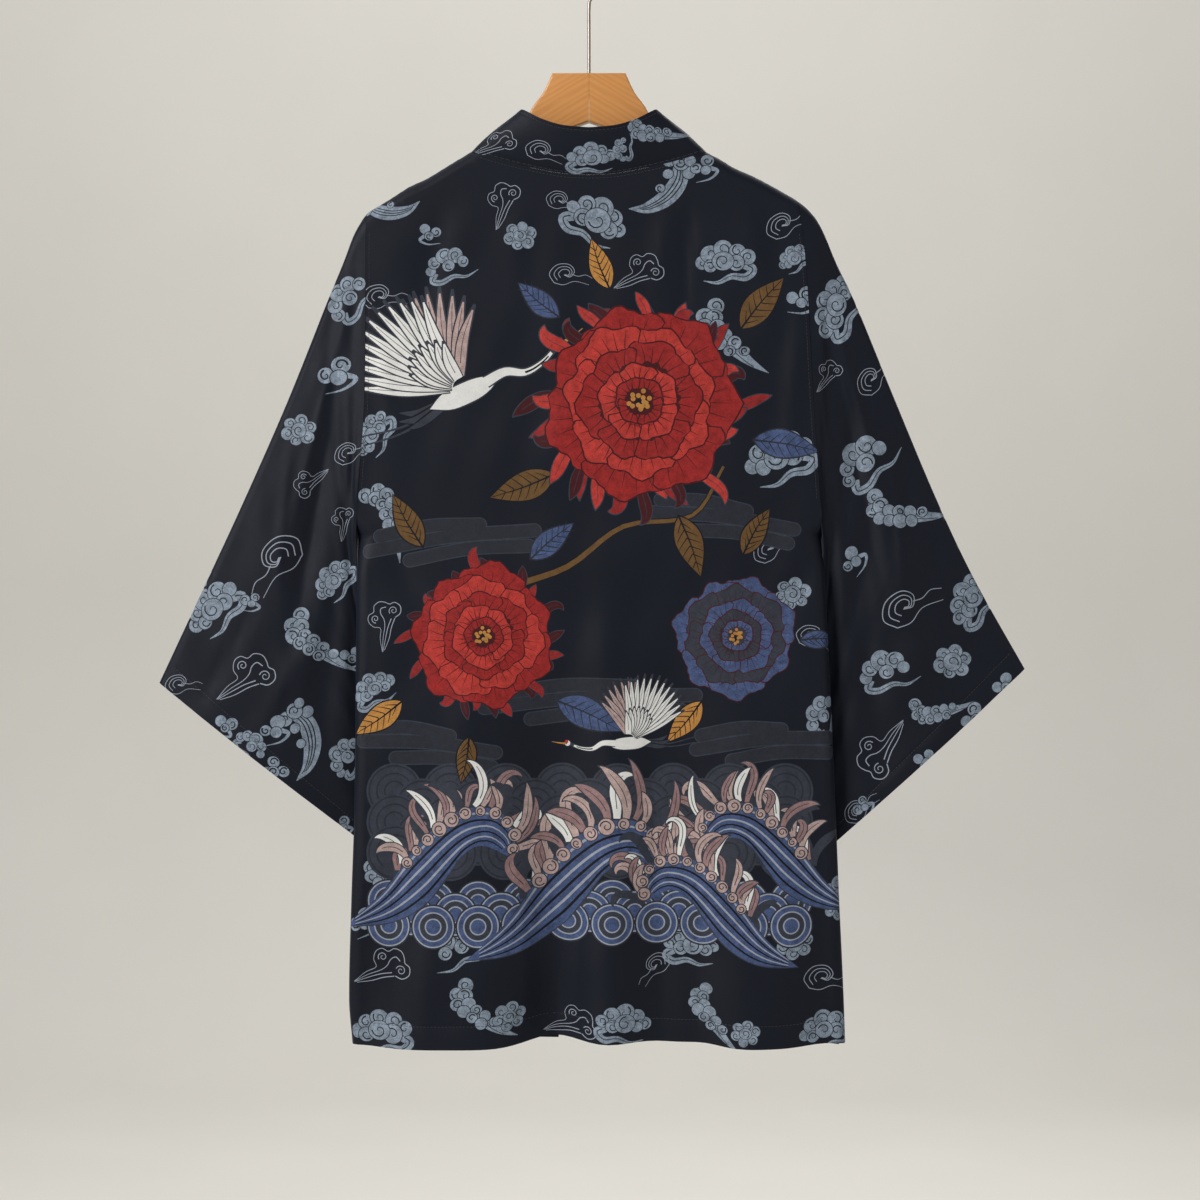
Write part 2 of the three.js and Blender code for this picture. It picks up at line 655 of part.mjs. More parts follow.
function collarGeometry() {
  const left = collarStations('left').slice(1).reverse();
  const stations = [...left, ...collarStations('right')];
  const bands = stations.map(({ seam, edge }) => {
    const across = edge.clone().sub(seam);
    const start = seam.clone().addScaledVector(across.clone().normalize(), COLLAR_SEAM_GAP);
    return Array.from({ length: COLLAR_STEPS + 1 }, (unused, step) =>
      start.clone().lerp(edge, step / COLLAR_STEPS));
  });
  const inward = bands.map((row, i) => {
    const before = bands[Math.max(i - 1, 0)];
    const after = bands[Math.min(i + 1, bands.length - 1)];
    return row.map((point, j) => {
      const across = row[COLLAR_STEPS].clone().sub(row[0]);
      return across.cross(after[j].clone().sub(before[j])).normalize();
    });
  });
  const outer = bands.map((row, i) => row.map((point, j) => {
    const crown = COLLAR_CROWN * Math.sin((Math.PI * j) / COLLAR_STEPS);
    return point.clone().addScaledVector(inward[i][j], -crown);
  }));
  const inner = outer.map((row, i) => row.map((point, j) =>
    point.clone().addScaledVector(inward[i][j], COLLAR_WALL)));
  return wallGeometry(outer, inner, false);
}

// Outline of the hanger in its own plane. The tops of its arms follow the cloth they carry.
function hangerOutline() {
  const shape = new THREE.Shape();
  const armTop = (side, x) => {
    const inner = lerp(ARM_UNDER_COLLAR, ARM_UNDER_CLOTH, smoothstep(x, 106, 114));
    return crestZ[side](x) - lerp(inner, ARM_UNDER_TIP, smoothstep(x, 165, 188));
  };
  const tops = [66, 76, 88, 98, 108, 116, 128, 142, 156, 170, 182, 190];
  const undersides = [
    { x: 188, z: -254 },
    { x: 160, z: -241 },
    { x: 130, z: -223 },
    { x: 95, z: -202 },
    { x: 60, z: -181 },
    { x: 20, z: -165.5 },
  ];
  shape.moveTo(0, HUB_TOP_Z);
  for (const side of ['right', 'left']) {
    const sign = SIGN[side];
    const outward = [
      () => shape.lineTo(sign * HUB_TOP_HALF_WIDTH, HUB_TOP_Z),
      () => shape.lineTo(sign * (HUB_TOP_HALF_WIDTH + 8.5), HUB_TOP_Z - 17),
      () => shape.lineTo(sign * (HUB_FOOT_X - 4), HUB_FOOT_Z + 8),
      () => shape.lineTo(sign * HUB_FOOT_X, HUB_FOOT_Z),
      ...tops.map((x) => () => shape.lineTo(sign * x, armTop(side, x))),
      () => shape.lineTo(sign * ARM_TIP_X, armTop(side, ARM_TIP_X) - 2),
      () => shape.lineTo(sign * (ARM_TIP_X + 0.5), armTop(side, ARM_TIP_X) - 9),
      ...undersides.map(({ x, z }) => () => shape.lineTo(sign * x, z)),
    ];
    if (side === 'left') outward.reverse();
    outward.forEach((draw) => draw());
    if (side === 'right') shape.lineTo(0, HUB_NOTCH_Z);
  }
  shape.closePath();
  return shape;
}

// A closed mesh made ready for cutting and joining, and the way back
function toSolid(library, geometry) {
  const bare = geometry.index ? geometry.clone() : geometry;
  bare.deleteAttribute('normal');
  bare.deleteAttribute('uv');
  const merged = mergeVertices(bare, 0.0001);
  return new library.Manifold(new library.Mesh({
    numProp: 3,
    vertProperties: new Float32Array(merged.getAttribute('position').array),
    triVerts: new Uint32Array(merged.getIndex().array),
  }));
}

function toGeometry(solid) {
  const mesh = solid.getMesh();
  const geometry = new THREE.BufferGeometry();
  geometry.setAttribute('position', new THREE.Float32BufferAttribute(mesh.vertProperties, 3));
  geometry.setIndex(Array.from(mesh.triVerts));
  geometry.computeVertexNormals();
  return geometry;
}

// The two halves of the hanger, glued at the middle, with the hole for the hook's stem
function hangerGeometries(library) {
  const body = new THREE.ExtrudeGeometry(hangerOutline(), {
    depth: ARM_THICKNESS - 2 * ARM_BEVEL,
    bevelEnabled: true,
    bevelThickness: ARM_BEVEL,
    bevelSize: ARM_BEVEL,
    bevelOffset: -ARM_BEVEL,
    bevelSegments: 3,
  });
  body.translate(0, 0, ARM_BEVEL - ARM_THICKNESS / 2);
  body.rotateX(Math.PI / 2);
  const holeDepth = STEM_DEPTH + 1;
  const hole = new THREE.CylinderGeometry(
    WIRE_RADIUS + STEM_HOLE_CLEARANCE,
    WIRE_RADIUS + STEM_HOLE_CLEARANCE,
    2 * holeDepth,
    16,
  );
  hole.rotateX(Math.PI / 2);
  hole.translate(0, 0, HUB_TOP_Z);
  const drilled = toSolid(library, body).subtract(toSolid(library, hole));
  const halves = {};
  for (const side of ['left', 'right']) {
    const reach = 2 * ARM_TIP_X;
    const half = new THREE.BoxGeometry(reach, reach, 4 * reach);
    half.translate(SIGN[side] * (reach / 2 + SEAM_GAP / 2), 0, 0);
    halves[side] = toGeometry(drilled.intersect(toSolid(library, half)));
  }
  return halves;
}

// The hook: a straight stem, a bend to the side and a bow over the top
function hookGeometry() {
  const bow = HOOK_INSIDE_RADIUS + WIRE_RADIUS;
  const points = [
    new THREE.Vector3(0, 0, HUB_TOP_Z - STEM_DEPTH),
    new THREE.Vector3(0, 0, -80),
    new THREE.Vector3(0, 0, -54),
    new THREE.Vector3(1.6, 0, -46),
    new THREE.Vector3(6, 0, -41.5),
  ];
  for (let degrees = -55; degrees <= 205; degrees += 20) {
    const angle = THREE.MathUtils.degToRad(degrees);
    points.push(new THREE.Vector3(bow * Math.cos(angle), 0, bow * Math.sin(angle) - HOOK_INSIDE_RADIUS));
  }
  const section = new THREE.Shape();
  section.absarc(0, 0, WIRE_RADIUS, 0, 2 * Math.PI);
  return new THREE.ExtrudeGeometry(section, {
    steps: 44,
    curveSegments: 4,
    bevelEnabled: false,
    extrudePath: new THREE.CatmullRomCurve3(points, false, 'centripetal'),
  });
}

function piece(name, geometry, look) {
  const mesh = new THREE.Mesh(geometry, new THREE.MeshStandardMaterial(look));
  mesh.name = name;
  return mesh;
}

const library = await Module();
library.setup();

const group = new THREE.Group();
const halves = hangerGeometries(library);
group.add(
  piece('back', backGeometry(), CLOTH),
  piece('front_left', frontGeometry('left'), CLOTH),
  piece('front_right', frontGeometry('right'), CLOTH),
  piece('sleeve_left', sleeveGeometry('left'), CLOTH),
  piece('sleeve_right', sleeveGeometry('right'), CLOTH),
  piece('collar', collarGeometry(), CLOTH),
  piece('hanger_left', halves.left, WOOD),
  piece('hanger_right', halves.right, WOOD),
  piece('hook', hookGeometry(), STEEL),
);

export default group;
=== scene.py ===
import math
import random

import bmesh
import bpy
import numpy as np
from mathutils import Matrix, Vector
from mathutils.bvhtree import BVHTree
from mathutils.geometry import delaunay_2d_cdt


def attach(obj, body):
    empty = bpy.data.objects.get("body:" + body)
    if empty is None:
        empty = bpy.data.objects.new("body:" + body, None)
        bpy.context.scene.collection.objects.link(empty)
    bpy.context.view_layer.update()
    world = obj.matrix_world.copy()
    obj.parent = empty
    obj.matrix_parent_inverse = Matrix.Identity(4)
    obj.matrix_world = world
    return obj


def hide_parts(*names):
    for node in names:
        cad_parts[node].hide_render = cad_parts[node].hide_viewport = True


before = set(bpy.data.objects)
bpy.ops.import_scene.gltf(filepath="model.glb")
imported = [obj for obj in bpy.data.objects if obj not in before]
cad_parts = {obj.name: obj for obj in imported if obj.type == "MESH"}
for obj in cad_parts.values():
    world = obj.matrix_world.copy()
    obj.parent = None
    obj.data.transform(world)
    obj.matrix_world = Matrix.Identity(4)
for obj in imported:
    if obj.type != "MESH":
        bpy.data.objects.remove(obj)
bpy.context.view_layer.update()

# Everything is worked out in millimetres and made in metres
MM = 0.001

# Places read from the photograph are given in its pixels and turned into millimetres here
PIXEL = 0.9
PHOTO_MIDDLE_X = 589
PHOTO_TOP_Z = -50
PHOTO_CENTRE = (600, 600)
PHOTO_WIDTH = 1200

# Cloth
SEAM_GAP = 0.3
SEWN_GAP = 0.04
CLOTH_THICK = 0.8
COLLAR_THICK = 2.2
COLLAR_WIDTH = 46
COLLAR_CROWN = 2
NECK_SIDE_X = 107
UNDERARM_Z = -531
HEM_Z = -991
SHOULDER_RADIUS = 12
UNDERARM_RADIUS = 17
UNDERARM_CENTRE_Y = -1
SIDE_RADIUS = 9
SIDE_TURN = math.radians(150)
SIDE_SETTLES = 42
SIDE_POCKET = 50
LAST_LEVEL_Z = -785
HEM_WIDTH = 22
TURN_GAIN = SHOULDER_RADIUS * (math.pi / 2 - 1)

# Hanger and hook
HUB_TOP_Z = -114
HUB_TOP_HALF_WIDTH = 33
HUB_FOOT_X = 54
HUB_FOOT_Z = -150.5
HUB_NOTCH_Z = -158
ARM_TIP_X = 194
ARM_THICKNESS = 12
ARM_UNDER_COLLAR = 5.8
ARM_UNDER_CLOTH = 2.1
ARM_UNDER_TIP = 3.8
WIRE_RADIUS = 1.5
HOOK_INSIDE_RADIUS = 20
STEM_DEPTH = 24

# Camera
CAMERA_DISTANCE = 2200
SENSOR = 36

# Top line of the collar and the shoulders: distance from the middle, left height, right height
CREST = [
    (61, -150, -149.5), (70, -156.2, -156.5), (80, -163.8, -164), (89, -170.6, -171),
    (107, -185, -185.5), (119, -192.2, -191.7), (131, -199.6, -199.2), (148, -209.8, -206.6),
    (162, -216, -213.8), (175, -224.4, -221.2), (187, -232, -228.2), (196, -237.2, -235.4),
    (203, -242.6, -243),
]

# Side edges of the back: height, left distance, right distance
BACK_EDGE = [
    (-230, 200.7, 188), (-280, 200.7, 194.4), (-336, 200.8, 198), (-405, 201.6, 201.5),
    (-500, 207.5, 207.6), (-590, 209.4, 213.3), (-770, 210.6, 221.4), (-860, 213.3, 225),
    (-950, 215.5, 229), (-991, 212.4, 230.4),
]

# Seam of the collar behind the neck: distance from the middle, height
NECK_SEAM = [(0, -207.4), (18, -206.6), (56, -200), (88, -192), (100, -188), (107, -185)]

# Depth of the back and of the fronts from the hanger's plane, by height
DEPTH = [
    (-253, 12, 12), (-384, 15, 14), (-514, 18, 16), (-700, 23, 19), (-850, 29, 23),
    (-991, 36, 28),
]

# Large folds: place at their top and at the hem, height of their top, depth, width, hem lift
BACK_FOLDS = [
    (-150, -206, -700, 12, 30, 3), (-30, -31, -560, 36, 34, 8), (84, 58, -520, 20, 38, 5),
    (105, 103, -700, 10, 22, 3), (190, 216, -640, 14, 34, 4),
]
FRONT_FOLDS = [
    (-150, -162, -430, 8, 26, 3), (-104, -112, -700, 7, 20, 2), (132, 128, -420, 9, 28, 3),
    (176, 186, -640, 7, 22, 2),
]

# Seam between each front and the collar: height, distance from the middle
FRONT_SEAM = [
    (-185, 107), (-203, 103.5), (-240, 93), (-300, 83), (-400, 76), (-550, 71), (-750, 70),
    (-991, 73),
]

# Free edge of the collar: the place of its seam, then x, y and z of the edge
COLLAR_EDGE_BACK = [
    (0, 0, -25, -167), (30, 22, -24.5, -165), (60, 43, -22.5, -158.5), (85, 56, -18, -151.2),
    (100, 61.5, -11, -148.4), (107, 63.5, 0, -149.2),
]
COLLAR_EDGE_FRONT = [
    (-185, 63.5, 0, -149.2), (-189, 63, 8.5, -150.5), (-198, 61, 14.5, -158),
    (-225, 54, 16.5, -194), (-260, 45, 17, -245), (-320, 37, 16.5, -316), (-400, 31, 17, -400),
]

# Outer and inner edge of each sleeve, from the seam to the cuff
SLEEVE_OUTER = {
    -1: [(201, -241), (206.1, -247.8), (214, -262), (222.3, -284), (236.7, -320),
         (272.7, -410), (312.3, -500), (345.6, -572), (388.8, -664.7)],
    1: [(188.3, -229.2), (196.2, -235.4), (207, -249.8), (222.3, -284), (240.3, -320),
        (277.2, -410), (315, -500), (349.2, -572), (394.2, -652.1)],
}
SLEEVE_INNER = {
    -1: [(208.8, -531), (209.4, -548), (208.9, -570), (208.6, -597), (206.2, -645),
         (203, -720), (201.5, -775), (203, -810.5)],
    1: [(209.9, -531), (210.3, -548), (210.4, -570), (211.3, -600), (211.7, -650),
        (211, -720), (211.5, -780), (213, -818)],
}

# Sleeve sections: share of the length, outer and inner radius, swell, outer and inner y
SLEEVE_SECTIONS = [
    (0, 12, 17, 0, 0, -1), (0.12, 9, 12.5, 1.5, 0, 0.5), (0.3, 5.5, 6, 6, 0.5, 3.5),
    (0.6, 4.5, 4.5, 9, 1, 4), (1, 4.5, 4.5, 11, 1, 4),
]

# Sleeve folds: face (-1 back, 1 front), place across at the start and the end, depth, width,
# and the shares of the length between which the fold runs
SLEEVE_FOLDS = {
    -1: [(-1, 0.3, 0.52, 5, 0.13, 0.05, 0.75), (-1, 0.7, 0.8, 4, 0.1, 0.3, 1.1),
         (1, 0.35, 0.5, 5, 0.14, 0.05, 0.8), (1, 0.75, 0.7, 4, 0.1, 0.35, 1.1)],
    1: [(-1, 0.35, 0.45, 4, 0.14, 0.05, 0.6), (-1, 0.6, 0.72, 5, 0.12, 0.35, 1.1),
        (1, 0.3, 0.55, 5, 0.14, 0.05, 0.7), (1, 0.7, 0.75, 4, 0.1, 0.4, 1.1)],
}


def smooth(value, low, high):
    share = np.clip((value - low) / (high - low), 0, 1)
    return share * share * (3 - 2 * share)


def lerp(a, b, share):
    return a + (b - a) * share


def curve_of(rows, column=1):
    """A smooth curve through a table's rows, which never overshoots between two of them."""
    table = np.array(sorted(rows), dtype=float)
    xs, ys = table[:, 0], table[:, column]
    rise = np.diff(ys) / np.diff(xs)
    slopes = np.zeros_like(ys)
    slopes[0], slopes[-1] = rise[0], rise[-1]
    for i in range(1, len(xs) - 1):
        if rise[i - 1] * rise[i] > 0:
            slopes[i] = 2 * rise[i - 1] * rise[i] / (rise[i - 1] + rise[i])

    def at(x):
        x = np.clip(x, xs[0], xs[-1])
        i = np.clip(np.searchsorted(xs, x, side="right") - 1, 0, len(xs) - 2)
        span = xs[i + 1] - xs[i]
        t = (x - xs[i]) / span
        rest = (2 * t - 3) * t * t + 1
        start = ((t - 2) * t + 1) * t * span * slopes[i]
        end = (t - 1) * t * t * span * slopes[i + 1]
        return rest * ys[i] + start + (1 - rest) * ys[i + 1] + end

    return at


def sided(rows):
    """One curve for both sides: the sign says which of the table's two columns counts."""
    left, right = curve_of(rows, 1), curve_of(rows, 2)
    return lambda sign, value: np.where(sign < 0, left(value), right(value))


crest_z = sided(CREST)
edge_x = sided(BACK_EDGE)
neck_z = curve_of(NECK_SEAM)
back_depth = curve_of(DEPTH, 1)
front_depth = curve_of(DEPTH, 2)
front_seam_x = curve_of(FRONT_SEAM)


def fold_sum(folds, x, z, lift=False):
    total = 0
    for top_x, hem_x, top_z, depth, width, raised in folds:
        down = np.clip((top_z - z) / (top_z - HEM_Z), 0, 1)
        aside = (x - lerp(top_x, hem_x, down)) / width
        total = total + (raised if lift else depth) * down**1.4 * np.exp(-aside * aside)
    return total


def shoulder_turn(sign, x, z):
    drop = np.clip(crest_z(sign, x) - z, 0, SHOULDER_RADIUS)
    return np.sqrt(SHOULDER_RADIUS**2 - (SHOULDER_RADIUS - drop) ** 2) / SHOULDER_RADIUS


def back_y(sign, x, z):
    reach = (back_depth(z) - SEAM_GAP / 2) * shoulder_turn(sign, x, z) + SEAM_GAP / 2
    return fold_sum(BACK_FOLDS, sign * x, z) - reach


def front_y(sign, x, z):
    reach = (front_depth(z) - SEAM_GAP / 2) * shoulder_turn(sign, x, z) + SEAM_GAP / 2
    return reach - fold_sum(FRONT_FOLDS, sign * x, z)


def side_turn(sign, z):
    """Edge distance, radius and angle of the cloth's turn at the side, and how far it settled."""
    start = UNDERARM_Z + UNDERARM_RADIUS
    above = np.arcsin(np.clip((start - z) / UNDERARM_RADIUS, 0, 1))
    settled = smooth(UNDERARM_Z - z, 0, SIDE_SETTLES)
    below = lerp(math.pi / 2, SIDE_TURN, settled)
    angle = np.where(z > UNDERARM_Z, above, below)
    return edge_x(sign, z), lerp(UNDERARM_RADIUS, SIDE_RADIUS, settled), angle, settled


def height_of(sign, x, w):
    """Height of a point that lies w down the cloth, where x is its distance from the middle."""
    top = crest_z(sign, x)
    turned = np.clip((w + top) / SHOULDER_RADIUS, 0, math.pi / 2)
    on_turn = top - SHOULDER_RADIUS * (1 - np.cos(turned))
    return np.where(turned < math.pi / 2, on_turn, TURN_GAIN - w)


def down_of(sign, x, z):
    """The way back: how far down the cloth a height lies."""
    drop = np.clip(crest_z(sign, x) - z, 0, None)
    turned = np.arccos(np.clip(1 - drop / SHOULDER_RADIUS, 0, 1))
    on_turn = SHOULDER_RADIUS * turned - crest_z(sign, x)
    return np.where(drop < SHOULDER_RADIUS, on_turn, TURN_GAIN - z)


def hem_lift(folds, x, z):
    share = np.clip((LAST_LEVEL_Z - z) / (LAST_LEVEL_Z - HEM_Z), 0, 1)
    return fold_sum(folds, x, HEM_Z, lift=True) * share


def hem_relief(distance):
    """The doubled hem stands out a little, up to a groove at its line of stitches."""
    doubled = 0.35 * smooth(distance, HEM_WIDTH, HEM_WIDTH - 1.5)
    groove = 0.3 * np.exp(-((distance - HEM_WIDTH + 1.5) ** 2))
    return doubled - groove


def bent(points, steps=5):
    """A smooth line through a few points."""
    points = [np.array(p, float) for p in points]
    ends = [2 * points[0] - points[1], *points, 2 * points[-1] - points[-2]]
    line = []
    for p0, p1, p2, p3 in zip(ends, ends[1:], ends[2:], ends[3:]):
        for k in range(steps):
            t = k / steps
            line.append(0.5 * (2 * p1 + (p2 - p0) * t + (2 * p0 - 5 * p1 + 4 * p2 - p3) * t * t
                               + (3 * p1 - p0 - 3 * p2 + p3) * t**3))
    return np.array([*line, points[-1]])


def crease_relief(creases, u, w):
    """Soft troughs and ridges along short lines: two ends, width and depth."""
    total = 0
    for u0, w0, u1, w1, width, depth in creases:
        along = ((u - u0) * (u1 - u0) + (w - w0) * (w1 - w0)) / ((u1 - u0) ** 2 + (w1 - w0) ** 2)
        inside = np.clip(along, 0, 1)
        aside = np.hypot(u - lerp(u0, u1, inside), w - lerp(w0, w1, inside))
        total = total + depth * np.exp(-((aside / width) ** 2)) * np.sin(math.pi * (0.1 + 0.8 * inside))
    return total


def rumple(u, w, seed):
    """The slight unevenness of hanging cloth, made of a few crossed waves."""
    total = 0
    shaker = random.Random(seed)
    for wave in range(7):
        length = shaker.uniform(38, 120)
        tilt = shaker.uniform(-0.5, 0.5) + (math.pi / 2 if wave % 3 == 0 else 0)
        phase = shaker.uniform(0, 6.28)
        across = u * math.cos(tilt) + w * math.sin(tilt)
        bend = 0.6 * np.sin(w / 57 + phase) + 0.5 * np.sin(u / 71 + 2 * phase)
        total = total + 0.0035 * length * np.sin(across * 2 * math.pi / length + phase + bend)
    return total


def photo_u(px):
    return (px - PHOTO_MIDDLE_X) * PIXEL


def photo_z(py):
    return PHOTO_TOP_Z - PIXEL * py


# The back


def crease(px0, py0, px1, py1, width, depth):
    """A crease between two places of the photograph."""
    w0 = TURN_GAIN - photo_z(py0)
    w1 = TURN_GAIN - photo_z(py1)
    return photo_u(px0), w0, photo_u(px1), w1, width, depth


BACK_CREASES = [
    crease(690, 195, 682, 330, 7, -1.6), crease(668, 200, 655, 300, 9, 1.3),
    crease(445, 200, 420, 330, 12, -1.6), crease(520, 190, 515, 300, 12, 1.2),
    crease(745, 190, 770, 330, 12, 1.4), crease(372, 300, 392, 430, 9, 1.6),
    crease(800, 300, 786, 470, 10, 1.7), crease(372, 520, 420, 600, 12, -2.2),
    crease(820, 545, 770, 640, 12, -2.2), crease(600, 560, 612, 880, 15, 2.0),
    crease(470, 620, 462, 900, 16, 1.8), crease(650, 720, 664, 1035, 9, -2.0),
    crease(705, 760, 716, 1030, 9, 1.6), crease(520, 830, 528, 1035, 8, 1.2),
    crease(575, 850, 580, 1035, 7, -1.4), crease(780, 700, 790, 1030, 12, 1.6),
    crease(400, 760, 398, 1030, 10, -1.4), crease(430, 860, 426, 1036, 9, 1.2),
]


def back_surface(u, w):
    sign = np.where(u < 0, -1, 1)
    across = np.abs(u)
    z = height_of(sign, across, w)
    edge, radius, angle, _ = side_turn(sign, z)
    flat = edge - radius * np.sin(np.minimum(angle, math.pi / 2))
    turned = np.clip((across - flat) / radius, 0, None)
    is_turned = (across > flat) & (angle > 0)
    x = np.where(is_turned, flat + radius * np.sin(turned), across)
    y = back_y(sign, np.minimum(across, np.where(angle > 0, flat, across)), z)
    y = y + np.where(is_turned, radius * (1 - np.cos(turned)), 0)
    fade = smooth(z, -212, -262) * smooth(flat + 12 - across, 0, 25)
    relief = (crease_relief(BACK_CREASES, u, w) + rumple(u, w, 11)) * fade
    relief = relief + hem_relief(z - HEM_Z)
    return np.stack([sign * x, y - relief, z + hem_lift(BACK_FOLDS, sign * x, z)], -1)


def side_length(sign, z):
    edge, radius, angle, _ = side_turn(sign, z)
    return edge - radius * np.sin(np.minimum(angle, math.pi / 2)) + radius * angle


def column_steps(top, bottom, step):
    """Places down a column: close together over the shoulder and at the hem, even between."""
    turn = SHOULDER_RADIUS * math.pi / 2
    starts = [top + turn * k / 6 for k in range(6)]
    middle = np.linspace(top + turn, bottom - HEM_WIDTH - 3, int((bottom - top - 45) / step))
    hem = [bottom - HEM_WIDTH, bottom - HEM_WIDTH + 1.5, bottom - HEM_WIDTH + 3, bottom - 10, bottom]
    return np.array([*starts, *middle, *hem])


GRID_STEP = 7


def back_grid():
    bottom = TURN_GAIN - HEM_Z
    inner = np.linspace(0, NECK_SIDE_X, 17)
    outer = np.array([0.05, 0.12, 0.2, 0.28, 0.36, 0.44, 0.52, 0.6, 0.68, 0.75, 0.81, 0.86, 0.9,
                      0.93, 0.955, 0.975, 0.99, 1])
    columns = []
    for sign in (-1, 1):
        width = float(edge_x(sign, 0))
        places = np.concatenate([inner, lerp(NECK_SIDE_X, width, outer)])
        side = []
        for place in places:
            is_neck = place < NECK_SIDE_X
            top_z = neck_z(place) if is_neck else crest_z(sign, place)
            top = float(down_of(sign, place, top_z))
            w = lerp(top, bottom, (column_steps(0, 800, GRID_STEP)) / 800)
            z = height_of(sign, place, w)
            u = place / width * side_length(sign, z)
            side.append(np.stack([sign * u, w], -1))
        columns.append(side)
    ordered = columns[0][:0:-1] + columns[1]
    return np.stack(ordered, 1)


# The fronts


def front_roll(sign, z):
    """Four control points of the front's roll from the side seam to its flat start, and whether the front
    rolls there.
    """
    edge, radius, angle, settled = side_turn(sign, z)
    above = angle < math.pi / 2
    heading = np.where(above, math.pi - angle, angle)
    reach = np.where(above, radius * np.sin(angle), lerp(UNDERARM_RADIUS, SIDE_POCKET, settled))
    handle = 4 / 3 * np.tan(np.minimum(angle, math.pi / 2) / 4) * UNDERARM_RADIUS
    near = lerp(handle, 12, settled)
    far = lerp(handle, 24, settled)
    end_x = edge - reach
    end_y = front_y(sign, end_x, z)
    flat = edge - radius
    seam_x = flat + radius * np.sin(angle) + SEAM_GAP * np.cos(angle)
    seam_y = back_y(sign, flat, z) + radius * (1 - np.cos(angle)) + SEAM_GAP * np.sin(angle)
    start_x = np.where(above, edge, seam_x)
    start_y = np.where(above, UNDERARM_CENTRE_Y + UNDERARM_RADIUS * np.cos(angle), seam_y)
    xs = [start_x, start_x + near * np.cos(heading), end_x + far, end_x]
    ys = [start_y, start_y + near * np.sin(heading), end_y, end_y]
    return xs, ys, angle > 0


def bezier(points, t):
    a, b, c, d = points
    s = 1 - t
    return s**3 * a + 3 * s * s * t * b + 3 * s * t * t * c + t**3 * d


ROLL_SAMPLES = 24


def roll_lengths(sign, z):
    """Lengths along the roll at even steps of its parameter, counted from its flat end."""
    xs, ys, rolled = front_roll(sign, z)
    steps = np.linspace(1, 0, ROLL_SAMPLES + 1)
    px = np.stack([bezier(xs, t) for t in steps], -1)
    py = np.stack([bezier(ys, t) for t in steps], -1)
    pieces = np.hypot(np.diff(px), np.diff(py))
    lengths = np.concatenate([np.zeros_like(px[..., :1]), np.cumsum(pieces, -1)], -1)
    return xs, ys, rolled, lengths


FRONT_CREASES = {
    -1: [(-150, 300, -128, 470, 12, 1.6), (-110, 260, -100, 420, 10, -1.3),
         (-185, 620, -120, 720, 14, 2.0), (-95, 560, -98, 960, 12, 1.6),
         (-150, 760, -158, 985, 9, -1.8)],
    1: [(160, 300, 136, 500, 12, 1.7), (112, 280, 104, 430, 9, -1.4),
        (190, 610, 130, 730, 13, 2.1), (104, 600, 100, 940, 11, -1.5),
        (160, 720, 166, 985, 10, 1.8)],
}


def front_surface_maker(side):
    def surface(u, w):
        sign = np.full(np.shape(u), side)
        across = np.abs(u)
        z = height_of(sign, across, w)
        xs, ys, rolled, lengths = roll_lengths(sign, z)
        flat_start = np.where(rolled, xs[3], edge_x(sign, z))
        on_roll = np.clip(across - flat_start, 0, lengths[..., -1])
        cell = np.clip((lengths[..., 1:] <= on_roll[..., None]).sum(-1), 0, ROLL_SAMPLES - 1)
        low = np.take_along_axis(lengths, cell[..., None], -1)[..., 0]
        high = np.take_along_axis(lengths, cell[..., None] + 1, -1)[..., 0]
        share = np.clip((on_roll - low) / np.maximum(high - low, 1e-9), 0, 1)
        t = 1 - (cell + share) / ROLL_SAMPLES
        is_rolled = rolled & (across > flat_start)
        x = np.where(is_rolled, bezier(xs, t), np.minimum(across, flat_start))
        y = np.where(is_rolled, bezier(ys, t), front_y(sign, x, z))
        fade = smooth(z, -190, -245) * smooth(flat_start - across, -10, 15)
        fade = fade * smooth(across - front_seam_x(z), 0, 15)
        relief = (crease_relief(FRONT_CREASES[side], u, w) + rumple(u, w, 23 + side)) * fade
        relief = relief + hem_relief(z - HEM_Z)
        return np.stack([sign * x, y + relief, z + hem_lift(FRONT_FOLDS, sign * x, z)], -1)

    return surface


def front_grid(side):
    bottom = TURN_GAIN - HEM_Z
    shares = np.array([0, 0.012, 0.03, 0.05, 0.075, 0.1, 0.13, 0.165, 0.205, 0.25, 0.3, 0.36, 0.42,
                       0.48, 0.54, 0.6, 0.66, 0.72, 0.78, 0.84, 0.9, 0.95, 1])
    sign = np.array(side)
    columns = []
    for share in shares:
        place = lerp(float(edge_x(sign, 0)), NECK_SIDE_X, share)
        top = float(down_of(sign, place, crest_z(sign, place)))
        w = lerp(top, bottom, column_steps(0, 800, GRID_STEP) / 800)
        z = height_of(sign, place, w)
        xs, _, rolled, lengths = roll_lengths(np.full(len(z), side), z)
        outer = np.where(rolled, xs[3] + lengths[..., -1], edge_x(sign, z))
        u = lerp(outer, front_seam_x(z), share)
        columns.append(np.stack([side * u, w], -1))
    return np.stack(columns, 1)


# The sleeves: a is the place round the tube from its outer edge, below 0 on the back face,
# and s the length from the armhole

SLEEVE_SAMPLES = 400


